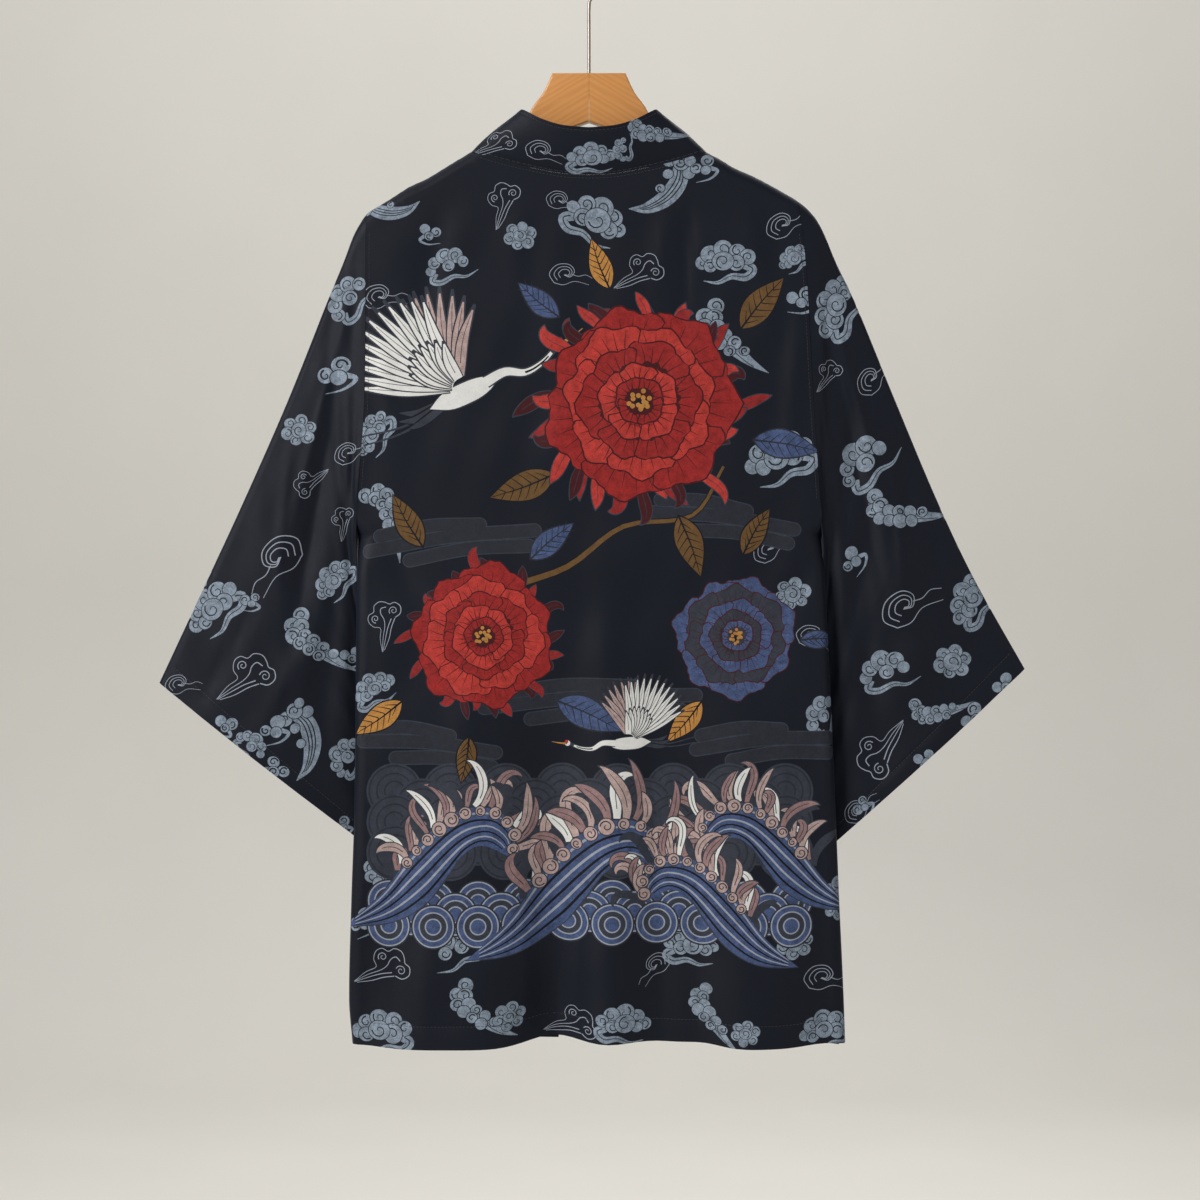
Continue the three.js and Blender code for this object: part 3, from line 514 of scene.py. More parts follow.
def even_line(rows):
    """Points at even lengths along a smooth line through the rows, and its length."""
    points = [Vector((x, 0, z)) for x, z in rows]
    dense = []
    ends = [2 * points[0] - points[1], *points, 2 * points[-1] - points[-2]]
    for p0, p1, p2, p3 in zip(ends, ends[1:], ends[2:], ends[3:]):
        for k in range(40):
            t = k / 40
            dense.append(0.5 * (2 * p1 + (p2 - p0) * t + (2 * p0 - 5 * p1 + 4 * p2 - p3) * t * t
                                + (3 * p1 - p0 - 3 * p2 + p3) * t**3))
    dense = np.array([*dense, points[-1]])[:, [0, 2]]
    lengths = np.concatenate([[0], np.cumsum(np.hypot(*np.diff(dense, axis=0).T))])
    even = np.linspace(0, lengths[-1], SLEEVE_SAMPLES + 1)
    line = np.stack([np.interp(even, lengths, dense[:, k]) for k in (0, 1)], -1)
    return line, lengths[-1]


class Sleeve:
    """The shape of one sleeve and the ways between the photograph's plane and its flat cut."""

    def __init__(self, side):
        self.side = side
        self.outer, self.length = even_line(SLEEVE_OUTER[side])
        self.inner, _ = even_line(SLEEVE_INNER[side])
        self.table = [curve_of(SLEEVE_SECTIONS, k) for k in range(1, 6)]

    def section(self, t):
        place = np.clip(t, 0, 1) * SLEEVE_SAMPLES
        steps = np.arange(SLEEVE_SAMPLES + 1)
        outer = np.stack([np.interp(place, steps, self.outer[:, k]) for k in (0, 1)], -1)
        inner = np.stack([np.interp(place, steps, self.inner[:, k]) for k in (0, 1)], -1)
        width = np.hypot(*(inner - outer).T).T
        return outer, (inner - outer) / width[..., None], width

    def half_turn(self, t):
        """Length round the tube from its outer edge to its inner edge."""
        width = self.section(t)[2]
        outer_radius, inner_radius = self.table[0](t), self.table[1](t)
        return width + (math.pi / 2 - 1) * (outer_radius + inner_radius)

    def surface(self, a, s):
        t = s / self.length
        face = np.where(a < 0, -1, 1)
        outer, down, width = self.section(t)
        outer_radius, inner_radius, swell, outer_y, inner_y = (curve(t) for curve in self.table)
        round_way = np.abs(a)
        outer_arc = outer_radius * math.pi / 2
        flat = width - outer_radius - inner_radius
        first = np.clip(round_way / outer_radius, 0, math.pi / 2)
        last = np.clip((round_way - outer_arc - flat) / inner_radius, 0, math.pi / 2)
        on_flat = np.clip(round_way - outer_arc, 0, flat)
        across = on_flat / flat
        along = outer_radius * (1 - np.cos(first)) + on_flat + inner_radius * np.sin(last)
        even = lerp(outer_radius, inner_radius, across)
        bulge = np.where(round_way < outer_arc, outer_radius * np.sin(first), even)
        bulge = np.where(last > 0, inner_radius * np.cos(last), bulge)
        belly = np.sin(math.pi * across)
        fold = self.fold(face, across, t)
        relief = crease_relief(SLEEVE_CREASES[self.side], a, s) + rumple(a, s, 40 + self.side)
        relief = relief * smooth(belly, 0, 0.35) * smooth(s, 0, 25)
        cuff = hem_relief(self.length - s) * smooth(belly, 0, 0.1)
        bulge = bulge + (swell - fold) * belly + relief + cuff
        x = outer[..., 0] + down[..., 0] * along
        z = outer[..., 1] + down[..., 1] * along
        middle = lerp(outer_y, inner_y, along / width)
        x = x + self.seam_bow(z) * (1 - smooth(t, 0, 0.2))
        return np.stack([self.side * x, middle + face * bulge, z], -1)

    def fold(self, face, across, t):
        total = 0
        for on_face, start, end, depth, width, begins, ends in SLEEVE_FOLDS[self.side]:
            down = np.clip((t - begins) / (ends - begins), 0, 1)
            aside = (across - lerp(start, end, down)) / width
            shape = depth * np.sin(math.pi * down) * np.exp(-aside * aside)
            total = total + np.where(face == on_face, shape, 0)
        return total

    def seam_bow(self, z):
        shoulder, underarm = SLEEVE_OUTER[self.side][0], SLEEVE_INNER[self.side][0]
        share = np.clip((shoulder[1] - z) / (shoulder[1] - underarm[1]), 0, 1)
        seam = edge_x(np.full(np.shape(z), self.side), z) + SEAM_GAP
        return seam - lerp(shoulder[0], underarm[0], share)

    def flat_place(self, x, z, face):
        """Where a point of the photograph's plane lies on the flat cut of the sleeve."""
        x, z = np.atleast_1d(np.asarray(x, float)), np.atleast_1d(np.asarray(z, float))
        steps = np.linspace(0, 1, SLEEVE_SAMPLES + 1)
        outer, down, _ = self.section(steps)
        off_x = x[:, None] - outer[None, :, 0]
        off_z = z[:, None] - outer[None, :, 1]
        side_of = down[:, 0] * off_z - down[:, 1] * off_x
        if side_of[0, -1] > side_of[0, 0]:
            side_of = -side_of
        passed = np.clip((side_of > 0).sum(1), 1, SLEEVE_SAMPLES)
        rows = np.arange(len(x))
        before, after = side_of[rows, passed - 1], side_of[rows, passed]
        share = np.clip(before / np.where(before == after, 1, before - after), -40, 40)
        t = (passed - 1 + share) / SLEEVE_SAMPLES
        outer, down, width = self.section(t)
        along = (x - outer[:, 0]) * down[:, 0] + (z - outer[:, 1]) * down[:, 1]
        radius = self.table[0](np.clip(t, 0, 1))
        turned = np.arccos(np.clip(1 - along / radius, -1, 1))
        round_way = np.where(along < radius, radius * turned, along + radius * (math.pi / 2 - 1))
        round_way = np.where(along < 0, along, round_way)
        return np.stack([face * round_way, t * self.length], -1)

    def grid(self):
        s = np.array([*np.linspace(0, 24, 6), *np.linspace(24, self.length - HEM_WIDTH - 3, 58)[1:],
                      *(self.length - HEM_WIDTH + k for k in (0, 1.5, 3)), self.length - 10,
                      self.length])
        ends = 1 - np.cos(np.linspace(0, math.pi / 2, 6)[1:-1])
        shares = np.concatenate([[0], 0.12 * ends, np.linspace(0.12, 0.88, 24),
                                 1 - 0.12 * ends[::-1], [1]])
        shares = np.unique(np.round(shares, 5))
        ring = np.concatenate([-shares[::-1], shares[1:]])
        half = self.half_turn(s / self.length)
        return np.stack([ring[None, :] * half[:, None], np.repeat(s[:, None], len(ring), 1)], -1)


SLEEVE_CREASES = {
    -1: [(-95, 120, -110, 330, 12, -2.2), (-60, 60, -70, 250, 10, 1.6),
         (-150, 240, -110, 430, 12, 2.0), (-60, 330, -45, 455, 9, -1.5),
         (-130, 330, -120, 455, 8, -1.6), (-35, 200, -80, 300, 10, 1.2),
         (90, 120, 105, 330, 12, -2.0), (60, 300, 50, 450, 10, 1.6), (140, 260, 120, 440, 10, -1.8)],
    1: [(-100, 100, -110, 320, 12, -1.8), (-60, 80, -75, 240, 10, 1.6),
        (-150, 260, -115, 430, 12, 2.0), (-70, 340, -60, 455, 10, -1.8),
        (-110, 350, -100, 460, 8, 1.5), (-40, 220, -85, 320, 10, 1.3),
        (95, 130, 110, 330, 12, -2.0), (65, 300, 55, 450, 10, 1.6), (140, 250, 125, 440, 10, -1.7)],
}
sleeves = {side: Sleeve(side) for side in (-1, 1)}


# The collar: k is the length along the band from the middle of the neck, a the way across


def collar_line(side):
    """Seam and free edge of the band on one side, from the middle of the neck to the hem."""
    sign = np.array(side)
    behind_x = np.concatenate([np.linspace(0, 92, 24), np.linspace(94, 106.5, 8)])
    behind_z = neck_z(behind_x)
    sided_x = np.full(len(behind_x), side)
    seam = [np.stack([behind_x, back_y(sided_x, behind_x, behind_z), behind_z], -1)]
    edge = [np.stack([curve_of(COLLAR_EDGE_BACK, k)(behind_x) for k in (1, 2, 3)], -1)]
    seam.append(np.array([[NECK_SIDE_X, 0, float(crest_z(sign, NECK_SIDE_X))]]))
    edge.append(np.array([COLLAR_EDGE_FRONT[0][1:]]))
    z = np.concatenate([-185.5 - 12 * (1 - np.cos(np.linspace(0.3, math.pi / 2, 6))),
                        np.linspace(-202, HEM_Z + 0.5, 110)])
    x = front_seam_x(z)
    seam.append(np.stack([x, front_y(np.full(len(z), side), x, z), z], -1))
    curved = np.stack([curve_of(COLLAR_EDGE_FRONT, k)(z) for k in (1, 2, 3)], -1)
    straight = np.stack([x - COLLAR_WIDTH + 1, front_depth(z) + 3, z], -1)
    edge.append(np.where((z < COLLAR_EDGE_FRONT[-1][0])[:, None], straight, curved))
    flip = np.array([side, 1, 1])
    return np.concatenate(seam) * flip, np.concatenate(edge) * flip


class Collar:
    def __init__(self):
        left_seam, left_edge = collar_line(-1)
        right_seam, right_edge = collar_line(1)
        self.seam = np.concatenate([left_seam[:0:-1], right_seam])
        self.edge = np.concatenate([left_edge[:0:-1], right_edge])
        middle = (self.seam + self.edge) / 2
        steps = np.linalg.norm(np.diff(middle, axis=0), axis=1)
        lengths = np.concatenate([[0], np.cumsum(steps)])
        self.k = lengths - lengths[len(left_seam) - 1]

    def surface(self, k, a):
        seam = np.stack([np.interp(k, self.k, self.seam[:, i]) for i in range(3)], -1)
        edge = np.stack([np.interp(k, self.k, self.edge[:, i]) for i in range(3)], -1)
        after = np.stack([np.interp(k + 4, self.k, self.seam[:, i]) for i in range(3)], -1)
        before = np.stack([np.interp(k - 4, self.k, self.seam[:, i]) for i in range(3)], -1)
        across = edge - seam
        across = across / np.linalg.norm(across, axis=-1, keepdims=True)
        out = np.cross(after - before, across)
        out = out / np.linalg.norm(out, axis=-1, keepdims=True)
        share = np.clip(a / COLLAR_WIDTH, 0, 1)[..., None]
        start = seam + across * SEWN_GAP
        crown = COLLAR_CROWN * np.sin(math.pi * share) * 0.87
        uneven = 0.35 * rumple(k, a * 2, 77)[..., None] * np.sin(math.pi * share)
        seam_line = -0.35 * np.exp(-(((share - 0.045) / 0.02) ** 2))
        edge_line = -0.25 * np.exp(-(((share - 0.93) / 0.02) ** 2))
        return lerp(start, edge, share) + out * (crown + uneven + seam_line + edge_line)

    def grid(self):
        near = np.linspace(-150, 150, 76)
        far = np.linspace(150, self.k[-1], 118)[1:]
        far_left = np.linspace(self.k[0], -150, 118)[:-1]
        k = np.concatenate([far_left, near, far])
        a = COLLAR_WIDTH * np.array([0, 0.025, 0.045, 0.07, 0.15, 0.27, 0.4, 0.53, 0.66, 0.78, 0.87,
                                     0.91, 0.93, 0.95, 0.975, 1])
        return np.stack(np.meshgrid(k, a, indexing="ij"), -1)


collar = Collar()


# Inks of the print, as sRGB colours, with how strongly each is mottled

INKS = {
    "ground": ("#0b101c", 0.0),
    "cloud": ("#75818f", 1.0),
    "line": ("#8b919d", 0.3),
    "dark": ("#0b0e16", 0.0),
    "white": ("#cfcfcc", 0.15),
    "red": ("#86201f", 0.7),
    "bright": ("#a3312b", 0.7),
    "maroon": ("#3d0f14", 0.3),
    "gold": ("#a9773a", 0.5),
    "bronze": ("#5f4526", 0.5),
    "denim": ("#3d4b6e", 0.9),
    "slate": ("#2f333d", 0.5),
    "mist": ("#23262f", 0.4),
    "foam": ("#a48e8a", 0.6),
    "rose": ("#856a6a", 0.6),
}
INK_NAMES = list(INKS)
INK_SHADES = {"red": "maroon", "bright": "red", "denim": "slate", "slate": "mist"}


def linear(code):
    values = [int(code[i:i + 2], 16) / 255 for i in (1, 3, 5)]
    return [v / 12.92 if v <= 0.04045 else ((v + 0.055) / 1.055) ** 2.4 for v in values]


# Shapes of the print: each is an ink and an outline, and later ones lie on earlier ones


def circle(x, y, radius, squash=1.0):
    count = max(12, int(7 + radius * 1.7))
    angles = np.linspace(0, 2 * math.pi, count, endpoint=False)
    return np.stack([x + radius * np.cos(angles), y + squash * radius * np.sin(angles)], -1)


def ribbon(line, start, end, middle=None):
    """A stroke along a line, as wide as start at one end, end at the other."""
    line = np.asarray(line, float)
    share = np.linspace(0, 1, len(line))
    width = lerp(start, end, share)
    if middle is not None:
        width = width + (middle - (start + end) / 2) * np.sin(math.pi * share)
    tangent = np.gradient(line, axis=0)
    tangent = tangent / np.maximum(np.linalg.norm(tangent, axis=1, keepdims=True), 1e-9)
    aside = np.stack([-tangent[:, 1], tangent[:, 0]], -1) * (np.maximum(width, 0.12) / 2)[:, None]
    return np.concatenate([line + aside, (line - aside)[::-1]])


def spiral(x, y, radius, turns, start, hand=1):
    count = int(10 * turns) + 4
    share = np.linspace(0, 1, count)
    angles = start + hand * 2 * math.pi * turns * share
    reach = radius * (1 - 0.82 * share)
    return np.stack([x + reach * np.cos(angles), y + reach * np.sin(angles)], -1)


def lobes_of(lobes, shaker, fill, line, edge):
    """Scalloped lobes, each with a thin edge, and a scroll inside the larger ones."""
    shapes = []
    stroke = 1.3 if fill == "cloud" else 0.9
    for x, y, radius in lobes:
        radius = radius * shaker.uniform(0.88, 1.14)
        squash = shaker.uniform(0.85, 1.05)
        shapes.append((line, circle(x, y, radius + edge, squash)))
        shapes.append((fill, circle(x, y, radius, squash)))
        start = shaker.uniform(0, 6.28)
        hand = shaker.choice((-1, 1))
        if radius > 7 or shaker.random() < 0.4:
            scroll = spiral(x, y, radius * 0.7, shaker.uniform(0.8, 1.2), start, hand)
            shapes.append((line, ribbon(scroll, stroke, stroke * 0.5)))
    return shapes


def solid_cloud(shaker):
    lobes = [(-24, 1, 7), (-15, 9, 8.5), (-2, 13, 9.5), (12, 10, 8.5), (22, 3, 7), (-16, -3, 7),
             (10, -2, 8), (-3, 1, 10.5)]
    tail = bent([(16, -3), (26, -10), (18, -17), (4, -15), (-10, -20), (-24, -17)])
    shapes = [("cloud", ribbon(tail, 9, 0.6, 7))]
    shapes.append(("dark", ribbon(tail[2:-4] + (0, 0.5), 1.1, 0.5)))
    return shapes + lobes_of(lobes, shaker, "cloud", "dark", 0.7)


def curled_cloud(shaker):
    lobes = [(-20, -2, 6.5), (-13, 6, 8), (1, 10, 10), (14, 6, 8.5), (20, -4, 6.5), (2, -3, 8)]
    tail = bent([(-16, -6), (-22, -14), (-12, -19), (4, -17), (18, -22), (34, -19)])
    shapes = [("cloud", ribbon(tail, 8, 0.5, 6))]
    shapes.append(("dark", ribbon(tail[2:-4], 1.0, 0.5)))
    return shapes + lobes_of(lobes, shaker, "cloud", "dark", 0.7)


def rosette(shaker):
    lobes = []
    for k in range(6):
        angle = k * math.pi / 3 + 0.3
        lobes.append((14 * math.cos(angle), 12 * math.sin(angle), 7.5))
    lobes.append((0, 0, 9))
    shapes = [("cloud", circle(0, 0, 14))]
    return shapes + lobes_of(lobes, shaker, "cloud", "dark", 0.7)


def chain(shaker):
    places = bent([(-14, 28), (-16, 14), (-8, 3), (3, -8), (15, -20), (30, -31)], 3)
    lobes = []
    for k, (x, y) in enumerate(places[:11]):
        lobes.append((x + 4.5 * (-1) ** k, y + 1.5 * (-1) ** k, 7.2 - 0.22 * k))
    shapes = [("cloud", ribbon(places, 9, 0.5, 13)), ("dark", ribbon(places[8:-2] - (2, 1), 0.8, 0.5))]
    return shapes + lobes_of(lobes, shaker, "cloud", "dark", 0.7)


def outline_cloud(shaker):
    """A cloud head with two curls over a tail of lines that run together, drawn in outline."""
    strokes = [
        [(-36, -15), (-22, -7), (-10, -3), (-11, 6), (-7, 14), (0, 16), (6, 12), (13, 14), (20, 10),
         (22, 3), (22, -3), (26, -8), (24, -16), (16, -19), (9, -15)],
        [(-36, -15), (-20, -10), (-6, -7), (2, -3), (7, 3), (13, 5), (17, 0)],
        [(-35, -15.5), (-20, -13), (-6, -11), (6, -11)],
        [(-33, -16.5), (-18, -17), (-4, -15), (8, -15)],
    ]
    shapes = [("line", ribbon(bent(stroke, 7), 0.6, 1.1)) for stroke in strokes]
    for x, y, radius, start in ((-1, 7, 5.2, 3.6), (16, -10, 5.6, 2.6)):
        shapes.append(("line", ribbon(spiral(x, y, radius, 1.4, start, -1), 1.0, 0.7)))
    return shapes


def outline_curl(shaker):
    shapes = []
    for scale in (1, 0.72, 0.45):
        body = bent([(-18 * scale, -9 * scale), (-22 * scale, 4 * scale), (-10 * scale, 14 * scale),
                     (6 * scale, 12 * scale), (12 * scale, 2 * scale), (5 * scale, -5 * scale),
                     (-3 * scale, -1 * scale)])
        shapes.append(("line", ribbon(body, 0.9, 0.8)))
    for tail in ([(-18, -9), (-6, -14), (10, -12), (28, -20)],
                 [(8, -2), (16, -6), (26, -6), (34, -12)]):
        shapes.append(("line", ribbon(bent(tail), 0.9, 0.5)))
    return shapes


def swirl(shaker):
    path = bent([(-34, -16), (-18, -18), (0, -12), (13, 0), (17, 13)])
    shapes = [("cloud", ribbon(path, 0.6, 12, 15))]
    for shift in (-3.2, 0, 3.2):
        line = path[3:-1] + np.stack([-0.6 * shift * np.ones(len(path) - 4),
                                      shift * np.linspace(0.3, 1, len(path) - 4)], -1)
        shapes.append(("dark", ribbon(line, 0.6, 0.9, 1.0)))
    lobes = [(23, 6, 6), (8, 19, 6.5), (18, 16, 7.5), (5, 8, 5), (-4, -3, 4), (26, 16, 4.5)]
    return shapes + lobes_of(lobes, shaker, "cloud", "dark", 0.7)


def small_bit(shaker):
    lobes = [(-6, 0, 5), (5, 3, 5.5), (1, -4, 4.5)]
    shapes = [("cloud", ribbon(bent([(4, -3), (10, -8), (2, -12), (-10, -11)]), 4, 0.4))]
    return shapes + lobes_of(lobes, shaker, "cloud", "dark", 0.6)


MOTIFS = {
    "solid": (solid_cloud, 62), "curled": (curled_cloud, 58), "rosette": (rosette, 44),
    "chain": (chain, 62), "outline": (outline_cloud, 60), "curl": (outline_curl, 54),
    "swirl": (swirl, 64), "bit": (small_bit, 24),
}


def moved(shapes, x, y, scale, angle=0, mirror=1):
    """Shapes scaled, mirrored, turned by so many degrees and moved to a place."""
    turn = math.radians(angle)
    cos, sin = math.cos(turn), math.sin(turn)
    found = []
    for ink, outline in shapes:
        across = outline[:, 0] * scale * mirror
        up = outline[:, 1] * scale
        found.append((ink, np.stack([x + across * cos - up * sin, y + across * sin + up * cos], -1)))
    return found


def motif(kind, x, y, width, angle, mirror, seed):
    """One motif at a place, as wide as width: its shapes in the plane of the cloth, y up."""
    draw, full = MOTIFS[kind]
    return moved(draw(random.Random(seed)), x, y, width / full, angle, mirror)


# Motifs that the photograph shows: kind, pixel place, width in millimetres, angle, mirror
BACK_MOTIFS = [
    ("outline", 500, 200, 42, 60, 1), ("solid", 594, 220, 62, -25, -1), ("rosette", 520, 236, 30, 0, 1),
    ("swirl", 664, 184, 66, 10, 1), ("bit", 703, 166, 26, 20, 1), ("curl", 783, 224, 40, 40, 1),
    ("swirl", 386, 204, 52, 30, -1), ("curled", 446, 264, 44, 20, 1), ("solid", 726, 262, 56, 5, 1),
    ("outline", 640, 268, 46, 15, 1), ("curl", 566, 274, 36, 10, 1), ("chain", 730, 340, 66, 5, 1),
    ("solid", 796, 258, 34, 30, 1), ("bit", 800, 298, 28, 0, 1), ("curl", 380, 296, 40, 20, 1),
    ("outline", 440, 330, 38, 30, -1), ("solid", 374, 434, 46, 60, 1), ("chain", 388, 520, 58, 60, -1),
    ("solid", 780, 458, 68, 20, 1), ("curl", 768, 548, 38, 50, 1), ("rosette", 792, 594, 34, 0, 1),
    ("curl", 812, 636, 36, 0, 1), ("bit", 843, 604, 26, 60, 1), ("outline", 382, 620, 44, 70, 1),
    ("solid", 374, 690, 44, 30, -1), ("curled", 820, 716, 44, 70, 1), ("chain", 396, 884, 56, 10, 1),
    ("bit", 363, 920, 28, 30, 1), ("outline", 386, 962, 50, 10, 1), ("curled", 464, 940, 52, 20, -1),
    ("rosette", 794, 942, 34, 0, 1), ("solid", 690, 948, 52, 0, -1), ("curl", 822, 978, 42, 10, 1),
    ("curl", 655, 968, 34, 30, -1), ("chain", 482, 1010, 58, 10, 1), ("rosette", 510, 1016, 30, 0, 1),
    ("solid", 384, 1030, 58, 5, 1), ("outline", 574, 1026, 46, 0, 1), ("solid", 622, 1026, 52, -5, -1),
    ("chain", 712, 1018, 52, -5, 1), ("rosette", 744, 1030, 28, 0, 1), ("solid", 826, 1032, 52, 10, 1),
    ("curled", 836, 896, 44, 60, 1), ("curl", 560, 200, 30, 0, 1), ("bit", 430, 232, 22, 0, -1),
]
LEFT_SLEEVE_MOTIFS = [
    ("curled", 345, 298, 48, 60, 1), ("bit", 334, 372, 34, 20, 1), ("rosette", 298, 430, 34, 0, 1),
    ("curl", 348, 452, 34, 40, 1), ("outline", 306, 480, 34, 50, -1), ("curl", 277, 558, 60, 35, -1),
    ("solid", 335, 580, 44, 50, 1), ("solid", 214, 608, 60, 45, 1), ("chain", 318, 645, 62, 12, 1),
    ("outline", 246, 672, 56, 20, 1), ("curl", 178, 684, 32, 20, 1), ("swirl", 300, 738, 66, 60, 1),
    ("bit", 273, 728, 28, 20, 1), ("curled", 344, 758, 42, 70, 1), ("bit", 350, 655, 22, 0, 1),
    ("outline", 340, 520, 30, 70, 1), ("bit", 250, 600, 20, 0, 1), ("bit", 226, 724, 22, -30, 1),
    ("curled", 252, 744, 34, -38, 1), ("bit", 277, 768, 26, -30, -1), ("bit", 340, 826, 20, 20, 1),
]
RIGHT_SLEEVE_MOTIFS = [
    ("solid", 836, 308, 62, 70, -1), ("outline", 826, 372, 32, 40, 1), ("curl", 872, 378, 40, 65, 1),
    ("curled", 862, 462, 58, 50, 1), ("chain", 906, 512, 62, 45, 1), ("curl", 905, 606, 56, 45, 1),
    ("solid", 974, 600, 56, 60, -1), ("curled", 884, 670, 50, 20, 1), ("rosette", 953, 662, 36, 0, 1),
    ("chain", 940, 710, 46, 60, 1), ("outline", 876, 750, 56, 70, -1), ("bit", 972, 716, 28, 40, 1),
    ("bit", 852, 560, 26, 60, 1), ("curl", 858, 810, 34, 60, 1), ("bit", 1004, 684, 24, 30, 1),
    ("bit", 924, 758, 22, 40, -1), ("bit", 862, 806, 20, 50, 1),
]
COLLAR_MOTIFS = [
    ("outline", 510, 148, 34, 40, 1), ("curl", 548, 152, 34, 10, 1), ("solid", 590, 158, 44, 5, -1),
    ("chain", 652, 135, 46, 20, 1), ("bit", 694, 148, 22, 30, 1), ("bit", 478, 150, 18, 30, 1),
    ("curled", 618, 150, 26, 80, 1),
]


def scattered(low, high, spacing, seed):
    """Motifs over a stretch of cloth that the photograph hides, in the same mixture."""
    shaker = random.Random(seed)
    kinds = ["solid", "outline", "rosette", "curled", "curl", "chain", "swirl", "outline", "bit"]
    found = []
    rows = max(1, round((high[1] - low[1]) / spacing))
    for row in range(rows):
        columns = max(1, round((high[0] - low[0]) / spacing))
        for column in range(columns + 1):
            share = (column + 0.5 * (row % 2)) / columns
            x = lerp(low[0], high[0], share) + shaker.uniform(-0.2, 0.2) * spacing
            y = lerp(low[1], high[1], (row + 0.5) / rows) + shaker.uniform(-0.2, 0.2) * spacing
            kind = kinds[(row * 4 + column * 5 + shaker.randrange(3)) % len(kinds)]
            width = MOTIFS[kind][1] * shaker.uniform(0.7, 1.0)
            found.append((kind, x, y, width, shaker.uniform(-10, 70), shaker.choice((-1, 1))))
    return found


# The large picture on the back: a generic one of cranes, peonies and waves


def placed(shapes, px, py, scale, angle=0, mirror=1):
    """Shapes moved to a pixel of the photograph, scaled to millimetres."""
    return moved(shapes, photo_u(px), photo_z(py), scale, angle, mirror)


def petal(angle, inner, outer, spread, waves, shaker):
    """Outline of a petal with a wavy outer edge, in the plane of the flower."""
    edge = []
    for share in np.linspace(-1, 1, 19):
        wave = 1 + 0.045 * math.cos(waves * share * 2.2) + shaker.uniform(-0.015, 0.015)
        reach = outer * wave * (1 - 0.16 * abs(share) ** 3)
        turn = angle + spread * share * (0.98 if abs(share) > 0.9 else 1)
        edge.append((reach * math.cos(turn), reach * math.sin(turn)))
    for share in np.linspace(0.72, -0.72, 7):
        turn = angle + spread * 0.5 * share
        edge.append((inner * math.cos(turn), inner * math.sin(turn)))
    return np.array(edge)


def shrink(outline, amount):
    """The outline moved in by about that amount."""
    centre = outline.mean(0)
    away = outline - centre
    reach = np.linalg.norm(away, axis=1, keepdims=True)
    return centre + away * np.maximum(1 - amount / np.maximum(reach, amount * 1.5), 0.3)


def peony(shaker, fills):
    shapes = []
    rings = [(0, 7, 100, 34), (0.35, 7, 82, 26), (0.1, 6, 63, 18), (0.5, 5, 44, 10), (0.9, 4, 27, 4)]
    for ring, (offset, count, outer, inner) in enumerate(rings):
        fill = fills[ring % len(fills)]
        for k in range(count):
            angle = offset + 2 * math.pi * k / count + shaker.uniform(-0.1, 0.1)
            reach = outer * shaker.uniform(0.92, 1.06)
            spread = math.pi / count * 1.28
            outline = petal(angle, inner, reach, spread, 3.1, shaker)
            shapes.append(("maroon", outline))
            shapes.append((fill, shrink(outline, 1.7)))
            base = petal(angle, inner, lerp(inner, reach, 0.52), spread * 0.8, 6.0, shaker)
            shapes.append((INK_SHADES[fill], base))
            for vein in (-0.62, -0.3, 0, 0.3, 0.62):
                turn = angle + spread * vein
                start = (reach * 0.9 * math.cos(turn), reach * 0.9 * math.sin(turn))
                end = (lerp(inner, reach, 0.45) * math.cos(angle + spread * vein * 0.7),
                       lerp(inner, reach, 0.45) * math.sin(angle + spread * vein * 0.7))
                middle = (0.5 * (start[0] + end[0]) + 1.5 * vein, 0.5 * (start[1] + end[1]))
                shapes.append(("maroon", ribbon(bent([start, middle, end], 4), 0.4, 1.3)))
    for k in range(14):
        angle = k * 2.4
        reach = 4 + 9 * ((k * 5) % 7) / 7
        shapes.append(("gold", circle(reach * math.cos(angle), reach * math.sin(angle), 2.6)))
    return shapes


def leaf(length, fill, vein):
    half = np.linspace(0, 1, 14)
    wide = 0.24 * length * np.sin(math.pi * half**0.8)
    top = np.stack([length * half, wide], -1)
    bottom = np.stack([length * half[::-1], -wide[::-1] * 0.85], -1)
    outline = np.concatenate([top, bottom[1:-1]])
    shapes = [(vein, outline), (fill, shrink(outline, 1.4))]
    shapes.append((vein, ribbon(bent([(0, 0), (length * 0.5, 1.5), (length * 0.96, 0)]), 1.8, 0.5)))
    for k in range(1, 7):
        x = length * k / 8
        reach = 0.19 * length * math.sin(math.pi * (k / 8) ** 0.8)
        for way in (1, -1):
            line = bent([(x, 0), (x + 5, way * reach * 0.6), (x + 9, way * reach)], 3)
            shapes.append((vein, ribbon(line, 1.0, 0.4)))
    return shapes


def feather_fan(root, start, end, count, inner, reach, shaker, ink, line):
    """Long feathers spread from one root between two angles, the last one on top."""
    shapes = []
    for k in range(count):
        share = k / (count - 1)
        angle = lerp(start, end, share)
        length = reach * (0.78 + 0.22 * math.sin(math.pi * (0.15 + 0.8 * share)))
        tip = (root[0] + length * math.cos(angle), root[1] + length * math.sin(angle))
        near = (root[0] + inner * math.cos(angle), root[1] + inner * math.sin(angle))
        sag = shaker.uniform(1.5, 3.5)
        middle = ((near[0] + tip[0]) / 2 - sag * math.sin(angle),
                  (near[1] + tip[1]) / 2 + sag * math.cos(angle))
        path = bent([near, middle, tip], 6)
        shapes.append((line, ribbon(path, 9.5, 2.4, 10.5)))
        shapes.append((ink, ribbon(path[:-1], 7.6, 1.4, 8.6)))
        shapes.append((line, ribbon(path[2:-2], 0.7, 0.4)))
    return shapes


